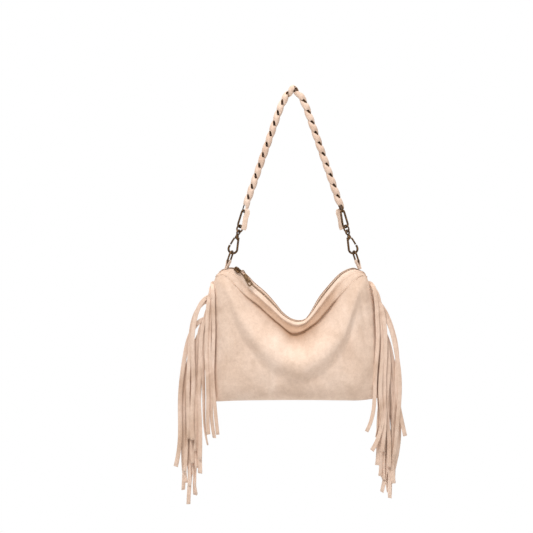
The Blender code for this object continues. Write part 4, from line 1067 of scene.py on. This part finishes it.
def body_place(face):
    """Place on one side of the body: up the panel, into the fold, over the band and down to the zip."""
    sections = {}

    def place(u, t):
        v = -math.cos(math.pi * u)
        if t <= PANEL_SHARE:
            return panel_spot(v, t / PANEL_SHARE, face)
        share = (t - PANEL_SHARE) / (1.0 - PANEL_SHARE)
        if u not in sections:
            sections[u] = [panel_spot(v, 1.0, face)] + band_spots(v, face)
        point = curve_spot(sections[u], share)
        wave = noise.noise(Vector((point.x / (18.0 * MM), share * 2.0, face * 5.0)))
        fine = noise.noise(Vector((point.x / (6.0 * MM), share * 4.0, face * 9.0)))
        hold = math.sin(math.pi * min(1.0, share * 1.04)) * fullness(v, 8.0, 0.8)
        return point + Vector((0.0, face * (1.2 * wave + 0.4 * fine) * MM * hold, 0.7 * wave * MM * hold))

    return place


def fold_shade(spot):
    """How much painted shade darkens the front at a place: full in the fold, gone on the rim and down the panel."""
    x, z = spot.x, spot.z
    z_fold, z_lip = read_mm(FRONT_FOLD, x), read_mm(FRONT_LIP, x)
    middle = bell(x / MM, 8.0, 48.0)
    if z > z_fold:
        shade = smooth_step((z_lip - 1.5 * MM - z) / (6.0 * MM)) * (0.62 + 0.20 * middle)
    else:
        away = (z_fold - z) / MM
        shade = (0.95 * math.exp(-away / (5.0 + 3.0 * middle)) + 0.42 * middle * math.exp(-((away / 24.0) ** 2)))
    return min(1.0, shade) * fold_depth(x)


def make_body(mat):
    for face, word in ((-1, "front"), (1, "back")):
        bm = sheet_grid(170, 170, body_place(face))
        bmesh.ops.recalc_face_normals(bm, faces=bm.faces)
        middle = min(bm.faces, key=lambda f: (f.calc_center_median() - Vector((0.0, face * 0.04, -0.5))).length)
        if middle.normal.y * face < 0.0:
            bmesh.ops.reverse_faces(bm, faces=bm.faces)
        # Painted shade for the fold under the front band, stored on the front's points for the suede material.
        layer = bm.verts.layers.float.new("fold_shade")
        for vert in bm.verts:
            vert[layer] = fold_shade(vert.co) if face < 0 else 0.0
        body = link_object(word + "_suede_body", bm, mat)
        thicken(body, SUEDE, -1.0)
        dress(body, "bag", "suede", word + "_panel", word + "_zip_band")


def make_lining(mat):
    """Two cloth sheets inside the suede, open along the zip."""
    whole = bmesh.new()
    for face in (-1, 1):
        place = body_place(face)

        def inside(u, t):
            spot = place(0.035 + 0.93 * u, 0.03 + 0.92 * t)
            spot.y = face * max(0.25 * MM, abs(spot.y) * 0.92 - SUEDE - 1.2 * MM)
            return spot

        add_sheet(whole, sheet_grid(60, 60, inside))
    lining = link_object("lining_cloth", whole, mat)
    thicken(lining, 0.25 * MM, 0.0)
    dress(lining, "bag", "lining", "lining")


# Fringe: where each strip hangs (x), how fast it settles there, the bend of its end, its length, all in mm,
# its depth in front of the seam (negative) or behind it, and the turn of its free end in degrees

LEFT_STRIPS = (
    (-145, 10, 8, 277, -15, 20), (-151, 14, 9, 276, -12.5, -25), (-156, 18, 4, 262, -14, 15),
    (-184, 30, 0, 276, -13.5, 12), (-193, 34, 0, 270, -12, -10), (-164, 22, 9, 262, -9.5, 75),
    (-170, 28, 1, 280, -10.5, -14), (-176, 30, -3, 262, -7, 30), (-208, 44, -9, 298, -9, 18),
    (-172, 24, 1, 288, -6, -20), (-187, 32, 3, 268, -5.5, 35), (-197, 38, -2, 280, -3.5, -15),
    (-180, 28, 3, 260, -3.2, 25), (-204, 42, 3, 272, -1.6, -30), (-199, 40, -3, 294, 0.5, 40),
    (-193, 36, 1, 276, -1, -12), (-186, 32, 8, 283, 1.5, 78), (-206, 42, 8, 262, 2.4, -20),
    (-188, 34, -3, 286, 0.4, 22), (-180, 30, 1, 258, 3.2, -35),
)
RIGHT_STRIPS = (
    (152, 13, -19, 276, -13.5, -30), (160, 18, 2, 262, -12, 12), (158, 17, -7, 270, -8.5, 72),
    (168, 24, -23, 292, -12.5, -25), (192, 50, 11, 262, -8, 20), (159, 14, -8, 298, -6, -15),
    (194, 46, -11, 284, -10.5, 25), (167, 22, -2, 258, -9.5, -18), (163, 17, -6, 295, -6.5, 30),
    (174, 26, 2, 274, -8, -22), (186, 38, -6, 270, -4.5, 18), (166, 18, 2, 280, -4, -35),
    (171, 20, -4, 270, -2.6, 28), (181, 30, 1, 276, -3.4, -16), (195, 42, -9, 256, -0.6, 35),
    (174, 20, -8, 276, 0.6, -40), (188, 34, -4, 252, 1.4, 20), (177, 20, 4, 272, -1.2, -15),
    (171, 16, 3, 252, 2.6, 38), (182, 26, -3, 252, 3.4, -25),
)
STRIP_TOP = -348.0 * MM


def strip_path(side, index, segments):
    """Centre points of one strip, from the seam to its free end, spaced closer near the seam."""
    hang, settle, bend, length, depth, _ = (LEFT_STRIPS if side < 0 else RIGHT_STRIPS)[index]
    z_root = STRIP_TOP - index * STRIP_PITCH
    x_root = edge_x(side, z_root) + side * HEADER_WIDTH
    reach = (hang * MM - x_root) * side
    settle *= MM
    length *= MM
    depth *= MM
    wave = random.Random(index * 7 + (3 if side < 0 else 5))
    phase, size = wave.uniform(0.0, 6.28), wave.uniform(0.6, 1.6) * MM * (1.6 if side > 0 else 1.0)
    fine = 6 * segments
    step = length / fine
    x_off = drop = 0.0
    points = [Vector((x_root, 0.0, z_root))]
    for k in range(1, fine + 1):
        a = k * step
        share = a / length
        out = reach / settle * math.exp(-(a - 0.5 * step) / settle)
        out += side * bend * MM / length * 12.0 * max(0.0, share - 0.5) ** 2 * 2.0
        out += size * 11.0 / length * math.cos(11.0 * share + phase) * smooth_step(share / 0.4)
        out = max(-0.9, min(0.95, out))
        x_off += out * step
        drop += math.sqrt(1.0 - out * out) * step
        away = 1.0 - math.exp(-a / (7.0 * MM))
        sway = 1.3 * MM * math.sin(7.0 * share + 2.0 * phase) * smooth_step(share / 0.5)
        points.append(Vector((x_root + side * x_off, depth * away + sway, z_root - drop)))
    picks = [round(fine * (k / segments) ** 1.25) for k in range(segments + 1)]
    return [points[k] for k in picks]


def add_sheet(whole, sheet):
    mesh = bpy.data.meshes.new("sheet")
    sheet.to_mesh(mesh)
    sheet.free()
    whole.from_mesh(mesh)
    bpy.data.meshes.remove(mesh)


def make_fringe(side, mat):
    """One piece of suede: a header in the side seam, cut into strips that flop over and hang."""
    word = "left" if side < 0 else "right"
    shape = random.Random(31 if side < 0 else 47)
    segments = 44
    whole = bmesh.new()
    for index in range(STRIPS):
        path = strip_path(side, index, segments)
        width = STRIP_WIDTH * shape.uniform(0.88, 1.10)
        twist_end = math.radians((LEFT_STRIPS if side < 0 else RIGHT_STRIPS)[index][5])
        twist_mid = math.radians(shape.uniform(-14.0, 14.0))
        slant = shape.uniform(-0.5, 0.5)
        phase = shape.uniform(0.0, 6.28)

        def place(u, w):
            spot = w * segments
            i = min(int(spot), segments - 1)
            along = (path[min(segments, i + 1)] - path[max(0, i - 1)]).normalized()
            if i == 0:
                along = (along + X_AXIS * side).normalized()
            point = path[i].lerp(path[i + 1], spot - i)
            wide = along.cross(Y_AXIS).normalized() * side
            normal = wide.cross(along)
            start = smooth_step(w / 0.10)
            turn = start * (twist_mid * math.sin(math.pi * w) + twist_end * w ** 1.6)
            wide, normal = (wide * math.cos(turn) + normal * math.sin(turn),
                            normal * math.cos(turn) - wide * math.sin(turn))
            side_share = (u - 0.5) * 2.0
            half = (STRIP_WIDTH * 0.5 - 0.5 * MM) * (1.0 - start) + 0.5 * width * start
            cup = 0.55 * MM * start * (1.0 - side_share * side_share) * math.sin(2.6 * w + phase)
            tail = max(0.0, w - 0.94) / 0.06 * slant * side_share * 1.6 * MM
            return point + wide * (half * side_share) + normal * cup - Z_AXIS * tail

        add_sheet(whole, sheet_grid(4, segments, place))
    top = STRIP_TOP + 0.5 * STRIP_PITCH
    low = STRIP_TOP - (STRIPS - 0.5) * STRIP_PITCH

    def header(u, w):
        z = low + (top - low) * w
        return Vector((edge_x(side, z) + side * (-2.0 * MM + (HEADER_WIDTH + 2.6 * MM) * u), 0.0, z))

    add_sheet(whole, sheet_grid(3, 60, header))
    bmesh.ops.recalc_face_normals(whole, faces=whole.faces)
    fringe = link_object(word + "_cut_fringe", whole, mat)
    thicken(fringe, STRIP_THICKNESS, 0.0)
    cut_edge(fringe, 0.2 * MM, 1, 60.0)
    dress(fringe, "bag", "suede", word + "_fringe")


# Zip

def zip_axes(v):
    """Middle of the zip's slope at column v, the direction along it, and the slope's outward normal."""
    x, z = slot_spot(v, 0.54)
    x0, z0 = slot_spot(v - 0.015, 0.54)
    x1, z1 = slot_spot(v + 0.015, 0.54)
    along = Vector((x1 - x0, 0.0, z1 - z0)).normalized()
    up = Vector((-along.z, 0.0, along.x))
    _, low = slot_spot(v, 0.36)
    _, high = slot_spot(v, 0.72)
    across_slot = Vector((0.0, 3.4 * MM, 0.0)) + up * ((high - low) * up.z)
    across_slot.normalize()
    return Vector((x, 0.0, z)), along, across_slot, along.cross(across_slot)


def make_zip(cloth, teeth):
    """Two tapes with a fine coil along the edge of each."""
    for face, word in ((-1, "front"), (1, "back")):

        def place(u, w):
            v = -0.90 + 1.78 * w
            centre, _, over, normal = zip_axes(v)
            return centre + over * face * (0.35 + 4.4 * u) * MM - normal * (1.5 + 0.5 * u) * MM

        tape = link_object("zip_cloth_" + word, sheet_grid(4, 160, place), cloth)
        thicken(tape, 0.5 * MM, 0.0)
        dress(tape, "bag", "zip_tape", "zip_tape_" + word)
        points = []
        turns = 230
        per_turn = 6
        for k in range(turns * per_turn + 1):
            v = -0.90 + 1.78 * k / (turns * per_turn)
            centre, _, over, normal = zip_axes(v)
            angle = 2.0 * math.pi * k / per_turn
            points.append(centre + over * (face * 0.95 + 0.62 * math.sin(angle)) * MM
                          + normal * (-0.75 + 0.48 * math.cos(angle)) * MM)
        coil = wire_mesh("zip_teeth_" + word, points, 0.24 * MM, False, teeth, sides=1)
        dress(coil, "bag", "zip_tape", "zip_coil_" + word)


def rounded_plate(outline, thickness, bevel, hole=None):
    """A flat plate of the outline, with a hole if given, its edges rounded."""
    bm = bmesh.new()
    verts = [bm.verts.new((x * MM, y * MM, -0.5 * thickness)) for x, y in outline]
    if hole:
        inner = [bm.verts.new((x * MM, y * MM, -0.5 * thickness)) for x, y in hole]
        edges = [bm.edges.new(pair) for ring in (verts, inner) for pair in zip(ring, ring[1:] + ring[:1])]
        bmesh.ops.triangle_fill(bm, use_beauty=True, use_dissolve=False, edges=edges)
        bmesh.ops.join_triangles(bm, faces=bm.faces, angle_face_threshold=0.1, angle_shape_threshold=3.0)
    else:
        bm.faces.new(verts)
    out = bmesh.ops.extrude_face_region(bm, geom=list(bm.faces))
    moved = [item for item in out["geom"] if isinstance(item, bmesh.types.BMVert)]
    bmesh.ops.translate(bm, verts=moved, vec=(0.0, 0.0, thickness))
    bmesh.ops.recalc_face_normals(bm, faces=bm.faces)
    sharp = [e for e in bm.edges if len(e.link_faces) == 2 and e.calc_face_angle(0.0) > 0.6]
    bmesh.ops.bevel(bm, geom=sharp, offset=bevel, segments=2, profile=0.6, affect="EDGES", clamp_overlap=True)
    return bm


SLIDER_PLACE = Vector((-101.0 * MM, -8.6 * MM, -323.6 * MM))
SLIDER_ALONG = Vector((0.80, -0.10, -0.59)).normalized()
SLIDER_FACE = Vector((0.30, -0.86, 0.50))
PULLER_PLACE = Vector((-92.5 * MM, -14.6 * MM, -325.0 * MM))
PULLER_ALONG = Vector((0.53, -0.10, -0.83)).normalized()
PULLER_FACE = Vector((0.10, -0.95, 0.22))


def faced(place, along, face):
    """Matrix whose X runs along and whose Z is the face's direction, squared to it."""
    across_face = face.cross(along).normalized()
    matrix = Matrix((along, across_face, along.cross(across_face))).transposed().to_4x4()
    matrix.translation = place
    return matrix


def make_slider(metal, pull_metal):
    frame_at = faced(SLIDER_PLACE, SLIDER_ALONG, SLIDER_FACE)
    plate = rounded_plate(((-7.0, -2.2), (-5.2, -4.2), (-1.0, -4.7), (5.6, -3.4), (6.6, -2.0), (6.6, 2.0), (5.6, 3.4),
                           (-1.0, 4.7), (-5.2, 4.2), (-7.0, 2.2)), 1.3 * MM, 0.35 * MM)
    plate.transform(frame_at @ Matrix.Translation((0.0, 0.0, 1.6 * MM)))
    slider = link_object("slider_body", plate, metal)
    slider.data.set_sharp_from_angle(angle=math.radians(35))
    arch = [Vector((x * MM, 0.0, z * MM)) for x, z in (
        (-6.0, 1.9), (-5.4, 4.2), (-3.0, 5.6), (1.0, 5.6), (3.4, 4.3), (4.2, 1.9))]
    bail = wire_mesh("bail", spline_points(arch, False, 5), 0.85 * MM, False, metal)
    extra = bmesh.new()
    extra.from_mesh(bail.data)
    bpy.data.objects.remove(bail, do_unlink=True)
    join_mesh(slider, extra, frame_at)
    for y in (-1.0, 1.0):
        wing = rounded_plate(((-6.0, -0.5), (5.4, -0.5), (5.4, 0.5), (-6.0, 0.5)), 2.6 * MM, 0.2 * MM)
        join_mesh(slider, wing, frame_at @ Matrix.Translation((0.0, y * 3.6 * MM, 0.4 * MM)))
    dress(slider, "zip_slider", "antique_bronze", "zip_slider")

    at = faced(PULLER_PLACE, PULLER_ALONG, PULLER_FACE)
    tongue = rounded_plate(
        ((6.2, -2.6), (7.4, -3.6), (22.0, -4.4), (29.6, -4.8), (31.0, -3.8), (31.0, 3.8), (29.6, 4.8), (22.0, 4.4),
         (7.4, 3.6), (6.2, 2.6)), 1.6 * MM, 0.4 * MM,
        ((24.0, -2.4), (28.4, -2.6), (28.4, 2.6), (24.0, 2.4)))
    tongue.transform(at)
    puller = link_object("pull_tongue", tongue, pull_metal)
    puller.data.set_sharp_from_angle(angle=math.radians(35))
    ring = [Vector((x * MM, y * MM, 0.0)) for x, y in ((-1.2, 0.0), (-0.6, -2.6), (2.5, -3.2), (6.0, -2.8), (7.6, -1.2),
                                                     (7.6, 1.2), (6.0, 2.8), (2.5, 3.2), (-0.6, 2.6))]
    loop = wire_mesh("loop", spline_points(ring, True, 5), 0.8 * MM, True, pull_metal)
    extra = bmesh.new()
    extra.from_mesh(loop.data)
    bpy.data.objects.remove(loop, do_unlink=True)
    join_mesh(puller, extra, at)
    panel = rounded_plate(((9.0, -1.9), (21.4, -2.7), (21.4, 2.7), (9.0, 1.9)), 0.5 * MM, 0.15 * MM)
    join_mesh(puller, panel, at @ Matrix.Translation((0.0, 0.0, 0.95 * MM)))
    dress(puller, "zip_puller", "antique_bronze", "zip_puller")


# Stitching

def make_stitches(name, points, normals, mat, body, pitch=4.0 * MM, length=2.9 * MM, radius=0.24 * MM):
    """A row of short sunk thread stitches along a path."""
    whole = bmesh.new()
    run = 0.0
    want = pitch * 0.5
    for (a, b), normal in zip(zip(points, points[1:]), normals):
        span = (b - a).length
        if span < 1e-9:
            continue
        along = (b - a) / span
        while want <= run + span:
            centre = a + along * (want - run) + normal * (0.3 * radius)
            side = normal.cross(along).normalized()
            matrix = Matrix((side, along.cross(side), along)).transposed().to_4x4()
            matrix.translation = centre
            bmesh.ops.create_cone(
                whole, cap_ends=True, segments=6, radius1=radius, radius2=radius, depth=length, matrix=matrix)
            want += pitch
        run += span
    dress(link_object(name, whole, mat), body, "suede")


def body_rows(face, mat):
    place = body_place(face)
    word = "front" if face < 0 else "back"
    stitch_at = PANEL_SHARE + (1.0 - PANEL_SHARE) * (0.52 if face < 0 else 0.62)
    rows = {
        "band": [(0.06 + 0.88 * k / 260, stitch_at) for k in range(261)],
        "left_seam": [(0.060, 0.03 + 0.64 * k / 120) for k in range(121)],
        "right_seam": [(0.940, 0.03 + 0.64 * k / 120) for k in range(121)],
    }
    for key, spots in rows.items():
        points, normals = [], []
        for u, t in spots:
            p = place(u, t)
            du = place(min(1.0, u + 0.004), t) - place(max(0.0, u - 0.004), t)
            dt = place(u, min(1.0, t + 0.004)) - place(u, max(0.0, t - 0.004))
            n = du.cross(dt).normalized()
            if n.y * face < 0.0:
                n = -n
            points.append(p)
            normals.append(n)
        make_stitches("%s_%s_stitches" % (word, key), points, normals, mat, "bag")


# Stage, light and camera

def make_stage():
    bm = bmesh.new()
    bmesh.ops.create_circle(bm, cap_ends=True, cap_tris=False, segments=96, radius=1.3)
    bmesh.ops.translate(bm, verts=bm.verts, vec=(-0.02, 0.0, CAD_LOW.z - 0.44))
    mat, tree, shader = new_material("pale_floor")
    coords = tree.nodes.new("ShaderNodeTexCoord").outputs["Object"]
    tone = ramp_node(tree, noise_node(tree, coords, 3.0), ((0.3, (0.86, 0.86, 0.86)), (0.7, (0.90, 0.90, 0.90))))
    tree.links.new(tone, shader.inputs["Base Color"])
    shader.inputs["Roughness"].default_value = 0.9
    floor = link_object("floor", bm, mat, smooth=False)

    world = bpy.data.worlds.new("studio")
    bpy.context.scene.world = world
    world.use_nodes = True
    tree = world.node_tree
    back = tree.nodes["Background"]
    back.inputs["Color"].default_value = (1.0, 1.0, 1.0, 1.0)
    path = tree.nodes.new("ShaderNodeLightPath")
    total = None
    for ray in ("Is Camera Ray", "Is Glossy Ray", "Is Transmission Ray"):
        if total is None:
            total = path.outputs[ray]
            continue
        add = tree.nodes.new("ShaderNodeMath")
        add.operation = "MAXIMUM"
        tree.links.new(total, add.inputs[0])
        tree.links.new(path.outputs[ray], add.inputs[1])
        total = add.outputs[0]
    level = tree.nodes.new("ShaderNodeMapRange")
    level.inputs["To Min"].default_value = WORLD_LEVEL
    level.inputs["To Max"].default_value = 1.0
    tree.links.new(total, level.inputs["Value"])
    tree.links.new(level.outputs["Result"], back.inputs["Strength"])


def make_light(name, place, aim, size, power, colour=(1.0, 1.0, 1.0)):
    lamp = bpy.data.lights.new(name, "AREA")
    lamp.shape = "RECTANGLE"
    lamp.size, lamp.size_y = size
    lamp.energy = power
    lamp.color = colour
    obj = bpy.data.objects.new(name, lamp)
    bpy.context.scene.collection.objects.link(obj)
    obj.location = place
    obj.rotation_euler = (Vector(aim) - Vector(place)).to_track_quat("-Z", "Y").to_euler()


def make_camera():
    cam = bpy.data.cameras.new("camera")
    cam.sensor_width = SENSOR_MM
    cam.lens = SENSOR_MM * CAMERA_DISTANCE / PICTURE_WIDTH
    obj = bpy.data.objects.new("camera", cam)
    bpy.context.scene.collection.objects.link(obj)
    angle = math.radians(CAMERA_ELEVATION)
    back = Vector((0.0, -math.cos(angle), math.sin(angle)))
    obj.location = CAMERA_TARGET + back * CAMERA_DISTANCE
    obj.rotation_euler = (-back).to_track_quat("-Z", "Y").to_euler()
    bpy.context.scene.camera = obj


bpy.context.scene.view_settings.view_transform = "Standard"
make_stage()
make_camera()
make_light("key", (-0.75, -1.5, 1.55), (0.0, 0.0, -0.42), (1.1, 0.8), 50.0)
make_light("fill", (1.7, -1.6, 0.1), (0.0, 0.0, -0.4), (1.4, 1.4), 13.0)
make_light("top", (0.0, 0.3, 1.6), (0.0, 0.0, -0.4), (1.4, 0.9), 20.0)
make_light("behind", (0.2, 2.2, 0.4), (0.0, 0.0, -0.4), (1.6, 1.2), 16.0)

# The body's suede is darkened by painted shade in the fold under the front band, read from the fold_shade attribute.
NAP = suede("pale_suede", (0.895, 0.705, 0.580), (0.845, 0.645, 0.515), (0.755, 0.560, 0.435), streaky=0.18, folds=True)
NAP_FRINGE = suede("fringe_suede", (0.885, 0.690, 0.570), (0.835, 0.630, 0.505), (0.70, 0.500, 0.375),
                   (40.0, 40.0, 5.0))
NAP_LACE = suede("lacing_suede", (0.88, 0.685, 0.56), (0.83, 0.625, 0.50), (0.72, 0.515, 0.395), (30.0, 30.0, 30.0))
METAL = bronze("antique_bronze", (0.030, 0.018, 0.010), (0.24, 0.135, 0.065))
PULL_METAL = bronze("puller_bronze", (0.10, 0.060, 0.032), (0.34, 0.21, 0.115), (0.28, 0.45))
TEETH = woven("zip_teeth", (0.62, 0.44, 0.31), (0.40, 0.27, 0.18), 0.5 * MM)
TAPE = woven("zip_tape", (0.74, 0.56, 0.42), (0.55, 0.40, 0.29), 0.5 * MM)
COTTON = woven("lining_cotton", (0.72, 0.55, 0.43), (0.56, 0.42, 0.32), 0.5 * MM)
THREAD = woven("thread", (0.80, 0.60, 0.46), (0.62, 0.44, 0.32), 0.3 * MM)

for node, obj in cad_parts.items():
    obj.data.materials.clear()
    if node == "lining":
        obj.data.materials.append(COTTON)
    elif node.startswith("zip_tape"):
        obj.data.materials.append(TAPE)
    elif node == "zip_puller":
        obj.data.materials.append(PULL_METAL)
    else:
        obj.data.materials.append(METAL)

make_chain(METAL)
make_lacing(NAP_LACE)
for which in (-1, 1):
    make_fittings(which, METAL, NAP)
make_body(NAP)
make_lining(COTTON)
for which in (-1, 1):
    make_fringe(which, NAP_FRINGE)
make_zip(TAPE, TEETH)
make_slider(METAL, PULL_METAL)
for which in (-1, 1):
    body_rows(which, THREAD)
